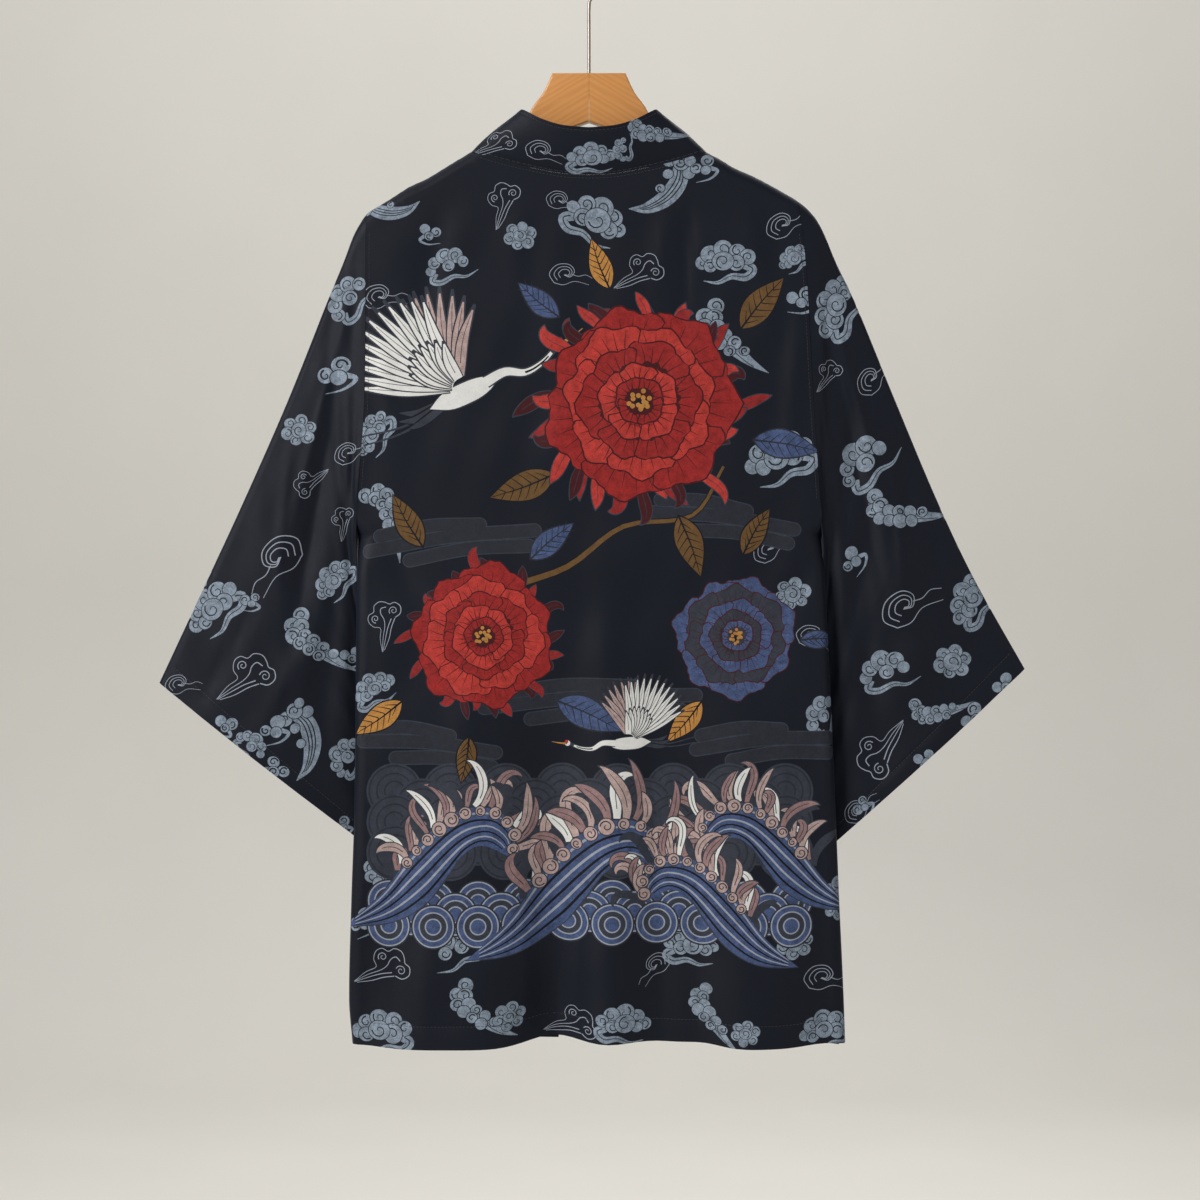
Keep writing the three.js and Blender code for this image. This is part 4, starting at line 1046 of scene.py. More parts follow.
def crane(shaker):
    """A crane in flight, about 220 wide: two raised wings, a long neck and trailing legs."""
    shapes = []
    for line in ([(-30, -8), (-60, -14), (-96, -12)], [(-30, -11), (-62, -19), (-94, -20)]):
        shapes.append(("slate", ribbon(bent(line), 2.4, 1.2)))
    far_wing = (math.radians(118), math.radians(62))
    shapes += feather_fan((-8, 2), *far_wing, 9, 14, 92, shaker, "foam", "slate")
    for line in (((-26, -4), (-44, -6), (-58, -2)), ((-26, -6), (-46, -11), (-60, -9)),
                 ((-24, -8), (-42, -15), (-54, -17))):
        shapes.append(("dark", ribbon(bent(line), 8, 1.5, 8)))
        shapes.append(("slate", ribbon(bent(line), 5.5, 0.8, 5.5)))
    body = bent([(-34, -6), (-14, -12), (10, -9), (26, 0), (20, 8), (0, 9), (-20, 4), (-34, -6)], 5)[:-1]
    shapes += [("slate", body), ("white", shrink(body, 1.3))]
    neck = bent([(18, 3), (36, 7), (52, 2), (68, 6), (84, 16)])
    shapes += [("slate", ribbon(neck, 11, 4.6)), ("white", ribbon(neck[:-2], 8.6, 2.6))]
    shapes.append(("dark", ribbon(neck[10:-3], 1.8, 1.2)))
    shapes += [("slate", circle(86, 17, 5)), ("white", circle(86, 17, 3.9))]
    shapes.append(("bright", circle(87, 19.5, 2.6)))
    shapes.append(("dark", circle(88, 16.6, 0.9)))
    shapes.append(("gold", ribbon(bent([(89, 17), (98, 20), (108, 24)]), 3, 0.5)))
    near_wing = (math.radians(164), math.radians(98))
    shapes += feather_fan((-2, 4), *near_wing, 12, 10, 104, shaker, "white", "slate")
    coverts = (math.radians(150), math.radians(96))
    shapes += feather_fan((-2, 4), *coverts, 8, 8, 52, shaker, "white", "slate")
    return shapes


def wave_scales(columns, rows, radius, inks):
    """Rows of overlapping rings, as on waves in old prints, the front row on top."""
    shapes = []
    for row in range(rows):
        for column in range(columns - row % 2):
            x = (column + 0.5 * (row % 2) - (columns - row % 2 - 1) / 2) * 2 * radius
            if row % 2:
                x -= radius
            y = -row * radius * 0.55
            for share, ink in zip((1, 0.93, 0.87, 0.66, 0.6, 0.38, 0.32), inks):
                shapes.append((ink, circle(x, y, radius * share)))
    return shapes


def tendril(x, y, heading, length, curl):
    """A line that starts straight and curls more and more."""
    steps = 16
    line = [(x, y)]
    for k in range(steps):
        share = k / steps
        angle = heading + curl * share**1.7 + 0.35 * math.sin(share * 5)
        stride = length / steps * (1.25 - 0.7 * share)
        line.append((line[-1][0] + stride * math.cos(angle), line[-1][1] + stride * math.sin(angle)))
    return np.array(line)


def lock(x, y, heading, length, curl, width, ink):
    """A flowing pointed lock with a dark edge and a line along it."""
    line = tendril(x, y, heading, length, curl)
    return [
        ("slate", ribbon(line, width * 0.8, 1.0, width * 1.25)),
        (ink, ribbon(line[:-1], width * 0.8 - 1.6, 0.4, width * 1.25 - 1.8)),
        ("slate", ribbon(line[2:-5], 0.8, 0.5)),
    ]


def even_points(line, count):
    """The same line with that many points at even steps."""
    line = np.asarray(line, float)
    steps = np.concatenate([[0], np.cumsum(np.hypot(*np.diff(line, axis=0).T))])
    even = np.linspace(0, steps[-1], count)
    return np.stack([np.interp(even, steps, line[:, k]) for k in (0, 1)], -1)


def breaker(shaker, height):
    """One rolling wave: a tapering striped body with flowing locks of foam along its crest."""
    scale = height / 100
    back_line = bent([(-105, -34), (-68, 0), (-34, 48), (8, 82), (46, 82), (64, 58), (58, 36)])
    front_line = bent([(-105, -34), (-60, -30), (-26, -12), (-4, 14), (12, 38), (32, 48), (58, 36)])
    crest = even_points(back_line, 34) * scale
    trough = even_points(front_line, 34) * scale
    body = np.concatenate([crest, trough[-2:0:-1]])
    shapes = [("slate", body), ("denim", shrink(body, 1.6))]
    for k, share in enumerate((0.14, 0.28, 0.42, 0.56, 0.7, 0.84)):
        stripe = lerp(crest, trough, share)[2:-2]
        shapes.append((("line", "dark")[k % 2], ribbon(stripe, 0.6, 0.8, 2.2 * scale)))
    for k in range(9, 34, 1):
        x, y = crest[k]
        away = math.atan2(*(crest[k] - trough[k])[::-1])
        heading = away + shaker.uniform(-0.5, 0.5)
        length = shaker.uniform(30, 62) * scale
        curl = shaker.choice((-1, 1)) * shaker.uniform(1.6, 3.4)
        ink = ("foam", "rose", "foam", "slate", "rose", "white")[k % 6]
        shapes += lock(x, y, heading, length, curl, shaker.uniform(6.5, 9) * scale, ink)
    for k in range(12, 34, 2):
        x, y = lerp(crest[k], trough[k], 0.1)
        reach = shaker.uniform(4.5, 7) * scale
        shapes += [("slate", circle(x, y, reach + 0.9)), ("foam", circle(x, y, reach))]
        shapes.append(("slate", ribbon(spiral(x, y, reach * 0.8, 1.2, k, -1), 1.3, 0.7)))
    return shapes


def mist_band(length, shaker):
    """A long drifting band with round ends."""
    shapes = []
    for ink, width in (("slate", 13), ("mist", 11)):
        for y, part, shift in ((0, 1, 0), (-13, 0.72, 14), (12, 0.6, -18)):
            half = length * part / 2
            line = bent([(shift - half, y), (shift, y + 3), (shift + half, y - 2)])
            shapes.append((ink, ribbon(line, width, width)))
            for end in (line[0], line[-1]):
                shapes.append((ink, circle(*end, width / 2)))
    return shapes


def flames(shaker, count, radius, length, inks):
    """Locks that stream outwards all round, as a ragged mane behind a flower."""
    shapes = []
    for k in range(count):
        angle = 2 * math.pi * k / count + shaker.uniform(-0.12, 0.12)
        start = radius * shaker.uniform(0.75, 1)
        reach = length * shaker.uniform(0.7, 1.2)
        curl = shaker.choice((-1, 1)) * shaker.uniform(0.5, 1.5)
        x, y = start * math.cos(angle), start * math.sin(angle)
        shapes += lock(x, y, angle, reach, curl, shaker.uniform(9, 13), inks[k % len(inks)])
    return shapes


def back_picture():
    shaker = random.Random(5)
    red = ("red", "bright", "red", "bright", "red")
    blue = ("denim", "slate", "denim", "slate", "denim")
    shapes = []
    for px, py, length, angle in ((452, 540, 150, 8), (722, 520, 130, -6), (590, 700, 190, 4),
                                  (430, 745, 120, -4), (762, 742, 120, 6)):
        shapes += placed(mist_band(length, shaker), px, py, 1, angle)
    far_rings = ("slate", "mist", "slate", "mist", "slate", "mist", "slate")
    shapes += placed(wave_scales(8, 5, 25, far_rings), 590, 790, 1)
    near_rings = ("mist", "line", "denim", "line", "slate", "line", "denim")
    shapes += placed(wave_scales(10, 3, 20, near_rings), 590, 900, 1)
    branch = bent([(-120, -74), (-80, -30), (-20, -6), (30, 30), (92, 40), (120, 84)])
    shapes += placed([("dark", ribbon(branch, 9, 4)), ("bronze", ribbon(branch, 6.6, 2.4))], 590, 560, 1)
    shapes += placed(crane(shaker), 466, 392, 1.08, 16)
    for px, py, angle, length, fill in (
        (740, 330, 50, 62, "bronze"), (752, 440, -10, 62, "denim"), (556, 474, 200, 64, "bronze"),
        (560, 318, 140, 50, "denim"), (678, 515, -70, 60, "bronze"), (610, 290, 110, 50, "gold"),
        (424, 548, 120, 56, "bronze"), (556, 700, -25, 66, "denim"), (404, 700, 215, 54, "gold"),
        (530, 560, 40, 52, "denim"), (742, 556, 60, 50, "bronze"), (798, 640, 0, 40, "denim"),
        (702, 700, 230, 50, "gold"), (470, 735, 260, 44, "bronze"),
    ):
        vein = "mist" if fill == "denim" else "dark"
        shapes += placed(leaf(length, fill, vein), px, py, 1, angle)
    shapes += placed(flames(shaker, 34, 84, 46, ("red", "maroon", "bright")), 640, 402, 0.92)
    shapes += placed(peony(shaker, red), 640, 402, 0.86)
    shapes += placed(flames(shaker, 26, 84, 40, ("maroon", "red")), 484, 636, 0.66)
    shapes += placed(peony(shaker, red), 484, 636, 0.64, 25)
    shapes += placed(peony(shaker, blue), 736, 636, 0.56, 70)
    shapes += placed(crane(shaker), 628, 742, 0.62, 12, -1)
    for px, py, height, mirror in ((452, 892, 92, 1), (760, 880, 84, -1), (590, 918, 106, 1),
                                   (700, 935, 84, -1)):
        shapes += placed(breaker(shaker, height), px, py, 1, 0, mirror)
    return shapes


# From flat shapes to printed cloth


def signed_area(outline):
    x, y = outline[:, 0], outline[:, 1]
    return 0.5 * float(np.sum(x * np.roll(y, -1) - np.roll(x, -1) * y))


def triangulate(points, edges, faces):
    """Constrained triangles over points: places, triangles, and for each place the points and
    for each triangle the faces that it comes from."""
    verts = [Vector((float(x), float(y))) for x, y in points]
    result = delaunay_2d_cdt(verts, edges, faces, 0, 1e-4, True)
    return np.array([(v.x, v.y) for v in result[0]]), result[2], result[3], result[5]


class Picture:
    """The print as a flat patchwork: which ink lies on top at a place, and the lines between
    two inks. Outlines that lie hidden under later shapes are left out of the lines."""

    def __init__(self, shapes, low, high):
        low, high = low - 60, high + 60
        outlines = [np.array([low, (high[0], low[1]), high, (low[0], high[1])])]
        inks = [INK_NAMES.index("ground")]
        for ink, outline in shapes:
            if (outline.max(0) > low + 50).all() and (outline.min(0) < high - 50).all():
                outline = np.clip(outline, low + 1, high - 1)
                outlines.append(outline if signed_area(outline) > 0 else outline[::-1])
                inks.append(INK_NAMES.index(ink))
        starts = np.cumsum([0] + [len(outline) for outline in outlines])
        faces = [list(range(a, b)) for a, b in zip(starts, starts[1:])]
        places, triangles, _, owners = triangulate(np.concatenate(outlines), [], faces)
        triangles = np.array(triangles)
        a, b, c = (places[triangles[:, k]] for k in range(3))
        areas = 0.5 * np.abs((b - a)[:, 0] * (c - a)[:, 1] - (b - a)[:, 1] * (c - a)[:, 0])
        covered = np.zeros(len(faces))
        for area, held in zip(areas.tolist(), owners):
            covered[held] += area
        sound = covered < 1.5 * np.array([abs(signed_area(o)) for o in outlines]) + 2
        tops = [inks[max((f for f in held if sound[f]), default=0)] for held in owners]
        self.inks = np.array(tops)
        sides = np.concatenate([triangles[:, [0, 1]], triangles[:, [1, 2]], triangles[:, [2, 0]]])
        edges, owner = np.unique(np.sort(sides, 1), axis=0, return_inverse=True)
        least = np.full(len(edges), 999)
        most = np.full(len(edges), -1)
        np.minimum.at(least, owner.ravel(), np.tile(self.inks, 3))
        np.maximum.at(most, owner.ravel(), np.tile(self.inks, 3))
        lines = edges[least != most]
        used, numbers = np.unique(lines, return_inverse=True)
        self.points = places[used]
        self.lines = numbers.reshape(-1, 2)
        self.tree = BVHTree.FromPolygons([(x, y, 0) for x, y in places.tolist()], triangles.tolist())

    def ink(self, x, y):
        return INK_NAMES[self.inks[self.tree.find_nearest((x, y, 0))[2]]]


def border_loop(triangles, places, corner):
    """The ordered border of a patch of triangles, from the vertex nearest to a corner."""
    seen = set()
    for a, b, c in triangles:
        seen.update(((a, b), (b, c), (c, a)))
    following = {a: b for a, b in seen if (b, a) not in seen}
    start = min(following, key=lambda i: float(np.hypot(*(places[i] - corner))))
    loop = [start]
    while following[loop[-1]] != start and len(loop) <= len(following):
        loop.append(following[loop[-1]])
    return loop


def normals_of(surface, flat, outward):
    step = 0.05
    u, w = flat[:, 0], flat[:, 1]
    over = surface(u + step, w) - surface(u - step, w)
    along = surface(u, w + step) - surface(u, w - step)
    normal = outward * np.cross(over, along)
    return normal / np.maximum(np.linalg.norm(normal, axis=1, keepdims=True), 1e-12)


def cloth_piece(name, grid, shapes, surface, outward, thick):
    """A printed piece of cloth: an outer face cut along its print, a plainer inner face a
    little in from it, and a rim between them."""
    rows, columns = grid.shape[:2]
    flat = grid.reshape(-1, 2)
    number = np.arange(rows * columns).reshape(rows, columns)
    border = [*number[0, :], *number[1:, -1], *number[-1, -2::-1], *number[-2:0:-1, 0]]
    if signed_area(flat[border]) < 0:
        border = border[::-1]
    picture = Picture(shapes, flat.min(0), flat.max(0))
    lines = (picture.lines + len(flat)).tolist()
    places, triangles, _, owners = triangulate(
        np.concatenate([flat, picture.points]), lines, [[int(i) for i in border]]
    )
    outer = [tuple(tri) for tri, held in zip(triangles, owners) if held]
    used = sorted({i for tri in outer for i in tri})
    renumber = {old: new for new, old in enumerate(used)}
    outer = [tuple(renumber[i] for i in tri) for tri in outer]
    places = places[used]
    outer_ink = [picture.ink(*places[list(tri)].mean(0)) for tri in outer]
    loop = border_loop(outer, places, flat[0])
    coarse = grid[1:-1, 1:-1].reshape(-1, 2)
    inner_places, inner_triangles, inner_from, inner_owner = triangulate(
        np.concatenate([places[loop], coarse]), [], [list(range(len(loop)))]
    )
    inner = [tuple(tri) for tri, held in zip(inner_triangles, inner_owner) if held]
    outer_normals = normals_of(surface, clamp_to(places, grid), outward)
    inner_normals = normals_of(surface, clamp_to(inner_places, grid), outward)
    outer_3d = surface(places[:, 0], places[:, 1])
    inner_3d = surface(inner_places[:, 0], inner_places[:, 1]) - thick * inner_normals
    first_inner = len(outer_3d)
    from_input = {old: new for new, olds in enumerate(inner_from) for old in olds}
    flip = outward > 0
    polygons = [tri if flip else tri[::-1] for tri in outer]
    polygons += [tuple(first_inner + i for i in (tri[::-1] if flip else tri)) for tri in inner]
    rim = []
    for k, vertex in enumerate(loop):
        after = (k + 1) % len(loop)
        quad = (loop[after], vertex, first_inner + from_input[k], first_inner + from_input[after])
        rim.append(quad if flip else quad[::-1])
    ink_of = outer_ink + ["inside"] * len(inner) + ["rim"] * len(rim)
    vertex_normals = np.concatenate([outer_normals, -inner_normals])
    verts = np.concatenate([outer_3d, inner_3d])
    return make_cloth_mesh(name, verts, polygons + rim, ink_of, vertex_normals)


def clamp_to(places, grid):
    """Places a hair inside the cut, so that small steps to each side stay on the surface."""
    low = grid.reshape(-1, 2).min(0) + 0.06
    high = grid.reshape(-1, 2).max(0) - 0.06
    return np.clip(places, low, high)


def new_piece(name, mesh):
    piece = bpy.data.objects.new(name, mesh)
    bpy.context.collection.objects.link(piece)
    return piece


def outward_mesh(name, verts, faces):
    """A smooth mesh from places in millimetres, with all its faces turned outwards."""
    mesh = bpy.data.meshes.new(name)
    mesh.from_pydata([tuple(v * MM) for v in verts], [], faces)
    shape = bmesh.new()
    shape.from_mesh(mesh)
    bmesh.ops.recalc_face_normals(shape, faces=shape.faces)
    shape.to_mesh(mesh)
    shape.free()
    mesh.shade_smooth()
    return mesh


def make_cloth_mesh(name, verts, polygons, ink_of, vertex_normals):
    mesh = bpy.data.meshes.new(name)
    mesh.from_pydata((verts * MM).tolist(), [], polygons)
    mesh.update()
    piece = new_piece(name, mesh)
    paint = mesh.color_attributes.new("print", "FLOAT_COLOR", "CORNER")
    ground = linear(INKS["ground"][0])
    reverse = [0.6 * g + 0.4 * c for g, c in zip(ground, linear("#2a2e38"))]
    colours = {ink: (*linear(code), mottle) for ink, (code, mottle) in INKS.items()}
    colours["inside"] = (*reverse, 0.35)
    colours["rim"] = (*ground, 0)
    values = []
    for face, ink in zip(polygons, ink_of):
        values.extend([colours[ink]] * len(face))
    paint.data.foreach_set("color", np.array(values, dtype=np.float32).ravel())
    mesh.shade_smooth()
    loop_normals = []
    for polygon, face, ink in zip(mesh.polygons, polygons, ink_of):
        if ink == "rim":
            loop_normals.extend([tuple(polygon.normal)] * len(face))
        else:
            loop_normals.extend(vertex_normals[i].tolist() for i in face)
    mesh.normals_split_custom_set(loop_normals)
    return piece


# Materials


class Graph:
    """The nodes of one new material, with short ways to add and link them."""

    def __init__(self, name):
        self.material = bpy.data.materials.new(name)
        self.material.use_nodes = True
        self.nodes = self.material.node_tree.nodes
        self.links = self.material.node_tree.links
        self.shader = self.nodes["Principled BSDF"].inputs
        self.place = self.nodes.new("ShaderNodeTexCoord").outputs["Object"]

    def feed(self, socket, value):
        if isinstance(value, bpy.types.NodeSocket):
            self.links.new(value, socket)
        else:
            socket.default_value = value

    def node(self, kind, inputs, **settings):
        node = self.nodes.new("ShaderNode" + kind)
        for key, value in settings.items():
            setattr(node, key, value)
        for key, value in inputs.items():
            self.feed(node.inputs[key], value)
        return node.outputs

    def maths(self, operation, a, b):
        return self.node("Math", {0: a, 1: b}, operation=operation)[0]

    def times(self, a, b):
        return self.maths("MULTIPLY", a, b)

    def plus(self, a, b):
        return self.maths("ADD", a, b)

    def noise(self, scale, detail, roughness=0.5, place=None):
        inputs = {"Scale": scale, "Detail": detail, "Roughness": roughness}
        inputs["Vector"] = place or self.place
        return self.node("TexNoise", inputs)["Fac"]

    def bands(self, direction, place=None, **inputs):
        inputs = {name.replace("_", " "): value for name, value in inputs.items()}
        inputs["Vector"] = place or self.place
        return self.node("TexWave", inputs, bands_direction=direction)["Fac"]

    def blend(self, factor, a, b, kind="MIX"):
        return self.node("Mix", {0: factor, 6: a, 7: b}, data_type="RGBA", blend_type=kind)[2]

    def bump(self, strength, distance, height):
        inputs = {"Strength": strength, "Distance": distance, "Height": height}
        self.feed(self.shader["Normal"], self.node("Bump", inputs)["Normal"])

    def finish(self, **values):
        """Sets the shader's sockets, named with _ for each blank."""
        for name, value in values.items():
            self.feed(self.shader[name.replace("_", " ")], value)
        return self.material


def cloth_material():
    """Smooth weave. The print's alpha says how strongly its ink is mottled."""
    g = Graph("printed_cloth")
    paint = g.nodes.new("ShaderNodeVertexColor")
    paint.layer_name = "print"
    fine = g.noise(900, 4, 0.7)
    patchy = g.noise(160, 5, 0.65)
    broad = g.noise(9, 3)
    spread = g.maths("SUBTRACT", g.plus(g.times(fine, 0.9), g.times(patchy, 0.9)), 0.9)
    strength = g.plus(g.times(g.times(spread, paint.outputs["Alpha"]), 2.3), 1.0)
    worn = g.plus(g.times(broad, 0.3), 0.85)
    tone = g.times(g.maths("MAXIMUM", strength, 0.18), worn)
    grey = g.node("CombineColor", {0: tone, 1: tone, 2: tone})[0]
    threads = [g.bands(way, Scale=520.0, Distortion=0.6, Detail_Scale=2.0) for way in ("X", "Z")]
    g.bump(0.22, 0.0002, g.plus(g.times(*threads), g.times(fine, 0.8)))
    return g.finish(
        Base_Color=g.blend(1.0, paint.outputs["Color"], grey, "MULTIPLY"),
        Roughness=g.plus(g.times(patchy, 0.14), 0.5),
        Sheen_Weight=0.05, Sheen_Roughness=0.45, Sheen_Tint=(0.62, 0.7, 0.9, 1),
        Specular_IOR_Level=0.18,
    )


def thread_material():
    g = Graph("thread")
    twist = g.bands("DIAGONAL", Scale=420.0)
    tint = g.blend(twist, (0.010, 0.012, 0.020, 1), (0.035, 0.04, 0.055, 1))
    return g.finish(Base_Color=tint, Roughness=0.55)


def wood_material():
    """Varnished wood whose grain runs down and outwards from the glued joint."""
    g = Graph("hanger_wood")
    x, y, z = g.node("SeparateXYZ", {0: g.place})
    out = g.maths("ABSOLUTE", x, 0.0)
    across = g.plus(g.times(z, 0.86), g.times(out, 0.5))
    along = g.maths("SUBTRACT", g.times(out, 0.86), g.times(z, 0.5))
    place = g.node("CombineXYZ", {0: g.times(along, 0.12), 1: y, 2: across})[0]
    grain = g.bands("Z", place, Scale=66.0, Distortion=9.0, Detail=3.0, Detail_Scale=1.2)
    fibre = g.noise(420, 5, 0.6, place)
    tint = g.blend(grain, (0.56, 0.24, 0.062, 1), (0.48, 0.19, 0.045, 1))
    g.bump(0.12, 0.0003, fibre)
    return g.finish(
        Base_Color=g.blend(g.times(fibre, 0.55), tint, (0.62, 0.31, 0.1, 1)),
        Roughness=g.plus(g.times(fibre, 0.16), 0.3), Coat_Weight=0.25, Coat_Roughness=0.3,
    )


def wire_material():
    g = Graph("hook_wire")
    streak = g.noise(45, 2)
    return g.finish(
        Metallic=1.0, Base_Color=g.blend(streak, (0.25, 0.21, 0.17, 1), (0.36, 0.32, 0.28, 1)),
        Roughness=g.plus(g.times(streak, 0.14), 0.32),
    )


CLOTH = cloth_material()
THREAD = thread_material()
WOOD = wood_material()
WIRE = wire_material()


# The cloth pieces


def as_cut(shapes, sign=1):
    """Shapes given by distance from the middle and height, as places on the flat cut."""
    cut = []
    for ink, outline in shapes:
        side = np.where(outline[:, 0] < 0, -1, 1)
        w = down_of(side, np.abs(outline[:, 0]), outline[:, 1])
        cut.append((ink, np.stack([outline[:, 0] * sign, w], -1)))
    return cut


def back_shapes():
    shapes = []
    for seed, (kind, px, py, width, angle, mirror) in enumerate(BACK_MOTIFS):
        shapes += motif(kind, photo_u(px), photo_z(py), width, angle, mirror, seed)
    return as_cut(shapes + back_picture())


def front_shapes(side):
    shapes = []
    table = scattered((78, -985), (225, -215), 66, 31 + side)
    for seed, (kind, x, z, width, angle, mirror) in enumerate(table):
        shapes += motif(kind, side * x, z, width, angle, mirror, 300 + seed)
    return as_cut(shapes)


def sleeve_shapes(side, table):
    sleeve = sleeves[side]
    shapes = []
    for seed, (kind, px, py, width, angle, mirror) in enumerate(table):
        for ink, outline in motif(kind, photo_u(px), photo_z(py), width, angle, mirror, 500 + seed):
            shapes.append((ink, sleeve.flat_place(side * outline[:, 0], outline[:, 1], -1)))
    hidden = scattered((20, 30), (235, 460), 68, 61 + side)
    for seed, (kind, a, s, width, angle, mirror) in enumerate(hidden):
        if a > float(sleeve.half_turn(np.array(s / sleeve.length))) + 10:
            continue
        for ink, outline in motif(kind, a, -s, width, angle, mirror, 700 + seed):
            shapes.append((ink, outline * (1, -1)))
    return shapes


def collar_shapes():
    shapes = []
    for seed, (kind, px, py, width, angle, mirror) in enumerate(COLLAR_MOTIFS):
        k = photo_u(px) * 1.12
        seam_z = float(neck_z(abs(photo_u(px))))
        a = (photo_z(py) - seam_z) * 1.05
        shapes += motif(kind, k, a, width, angle, mirror, 900 + seed)
    for low, high, seed in ((150, 860, 3), (-860, -150, 4)):
        for number, row in enumerate(scattered((low, 8), (high, 38), 58, seed)):
            kind, k, a, width, angle, mirror = row
            shapes += motif(kind, k, a, width * 0.85, angle + 90, mirror, 950 + number)
    return shapes


def finish_piece(piece, material):
    piece.data.materials.clear()
    piece.data.materials.append(material)
    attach(piece, "root")


back = cloth_piece("back_cloth", back_grid(), back_shapes(), back_surface, -1, CLOTH_THICK)
fronts = {}
arms = {}
for side, word in ((-1, "left"), (1, "right")):
    fronts[side] = cloth_piece(
        f"front_{word}_cloth", front_grid(side), front_shapes(side), front_surface_maker(side), 1,
        CLOTH_THICK,
    )
    table = LEFT_SLEEVE_MOTIFS if side < 0 else RIGHT_SLEEVE_MOTIFS
    arms[side] = cloth_piece(
        f"sleeve_{word}_cloth", sleeves[side].grid(), sleeve_shapes(side, table),
        sleeves[side].surface, -side, CLOTH_THICK,
    )
band = cloth_piece("collar_cloth", collar.grid(), collar_shapes(), collar.surface, 1, COLLAR_THICK)

for piece, node in (
    (back, "back"), (fronts[-1], "front_left"), (fronts[1], "front_right"),
    (arms[-1], "sleeve_left"), (arms[1], "sleeve_right"), (band, "collar"),
):
    finish_piece(piece, CLOTH)
    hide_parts(node)


# The hanger and its hook


def hanger_outline(side):
    """Outline of one half of the hanger, from the joint's top round its tip to the notch."""
    sign = np.array(side)

    def arm_top(x):
        inner = lerp(ARM_UNDER_COLLAR, ARM_UNDER_CLOTH, smooth(x, 106, 114))
        return float(crest_z(sign, x) - lerp(inner, ARM_UNDER_TIP, smooth(x, 165, 188)))

    joint = 0.1
    points = [(joint, HUB_TOP_Z), (HUB_TOP_HALF_WIDTH, HUB_TOP_Z)]
    flank = bent([(HUB_TOP_HALF_WIDTH, HUB_TOP_Z), (HUB_TOP_HALF_WIDTH + 8, HUB_TOP_Z - 17),
                  (HUB_FOOT_X - 4.5, HUB_FOOT_Z + 8), (HUB_FOOT_X, HUB_FOOT_Z)], 4)
    points += [tuple(p) for p in flank[1:]]
    points += [(x, arm_top(x)) for x in np.linspace(64, 190, 36)]
    points += [(ARM_TIP_X - 1.5, arm_top(ARM_TIP_X) - 1.5), (ARM_TIP_X, arm_top(ARM_TIP_X) - 9)]
    under = bent([(188, -252), (160, -240), (130, -222.5), (95, -201.5), (60, -180.5), (20, -165),
                  (joint, HUB_NOTCH_Z)], 4)
    points += [tuple(p) for p in under]
    return [(side * x, z) for x, z in points]


def slab(name, outline, thickness, bevel):
    """A plate of that outline with softly rounded edges, standing in the hanger's plane."""
    mesh = bpy.data.meshes.new(name)
    shape = bmesh.new()
    verts = [shape.verts.new((x * MM, -thickness / 2 * MM, z * MM)) for x, z in outline]
    face = shape.faces.new(verts)
    pushed = bmesh.ops.extrude_face_region(shape, geom=[face])
    moved = [v for v in pushed["geom"] if isinstance(v, bmesh.types.BMVert)]
    bmesh.ops.translate(shape, verts=moved, vec=(0, thickness * MM, 0))
    bmesh.ops.recalc_face_normals(shape, faces=shape.faces)
    joint = 0.2 * MM
    rims = [e for e in shape.edges
            if abs(e.verts[0].co.y - e.verts[1].co.y) < 1e-9
            and not (abs(e.verts[0].co.x) < joint and abs(e.verts[1].co.x) < joint)]
    bmesh.ops.bevel(shape, geom=rims, offset=bevel * MM, segments=4, profile=0.5,
                    affect="EDGES", clamp_overlap=True)
    shape.to_mesh(mesh)
    shape.free()
    mesh.shade_smooth()
    return new_piece(name, mesh)


for side, word in ((-1, "left"), (1, "right")):
    half = slab(f"hanger_{word}_wood", hanger_outline(side), ARM_THICKNESS, 1.8)
    finish_piece(half, WOOD)
    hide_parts(f"hanger_{word}")
    half.data.set_sharp_from_angle(angle=math.radians(35))


def tube_faces(rings, sides, base=0):
    """Faces of a closed tube from its rings of corners, the first corner being base."""
    faces = []
    for i in range(rings - 1):
        near = base + i * sides
        far = near + sides
        for k in range(sides):
            after = (k + 1) % sides
            faces.append((near + k, near + after, far + after, far + k))
    last = base + (rings - 1) * sides
    faces.append(tuple(base + k for k in reversed(range(sides))))
    faces.append(tuple(last + k for k in range(sides)))
    return faces


def tube(name, line, radius, sides):
    """A round wire along a line in the hanger's plane. Its last end is rounded."""
    line = [Vector(p) for p in line]
    rings = []
    radii = [radius] * len(line)
    heading = (line[-1] - line[-2]).normalized()
    for turn in (0.35, 0.7, 0.95):
        line.append(line[len(radii) - 1] + heading * radius * turn)
        radii.append(radius * math.sqrt(1 - turn * turn))
    for i, place in enumerate(line):
        ahead = (line[min(i + 1, len(line) - 1)] - line[max(i - 1, 0)]).normalized()
        aside = ahead.cross(Vector((0, 1, 0))).normalized()
        rings.append([place + radii[i] * (math.cos(a) * aside + math.sin(a) * Vector((0, 1, 0)))
                      for a in (2 * math.pi * k / sides for k in range(sides))])
    verts = [v for ring in rings for v in ring]
    return new_piece(name, outward_mesh(name, verts, tube_faces(len(rings), sides)))


def hook_line():
    bow = HOOK_INSIDE_RADIUS + WIRE_RADIUS
    points = [(0, HUB_TOP_Z - STEM_DEPTH + 1), (0, -110), (0, -80), (0, -54), (1.6, -46), (6, -41.5)]
    for degrees in range(-55, 206, 20):
        angle = math.radians(degrees)
        points.append((bow * math.cos(angle), bow * math.sin(angle) - HOOK_INSIDE_RADIUS))
    return [(x, 0, z) for x, z in bent(points, 8)]


hook = tube("hook_wire", hook_line(), WIRE_RADIUS, 20)
finish_piece(hook, WIRE)
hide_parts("hook")


# Stitching: rows of short threads that lie in the cloth's face


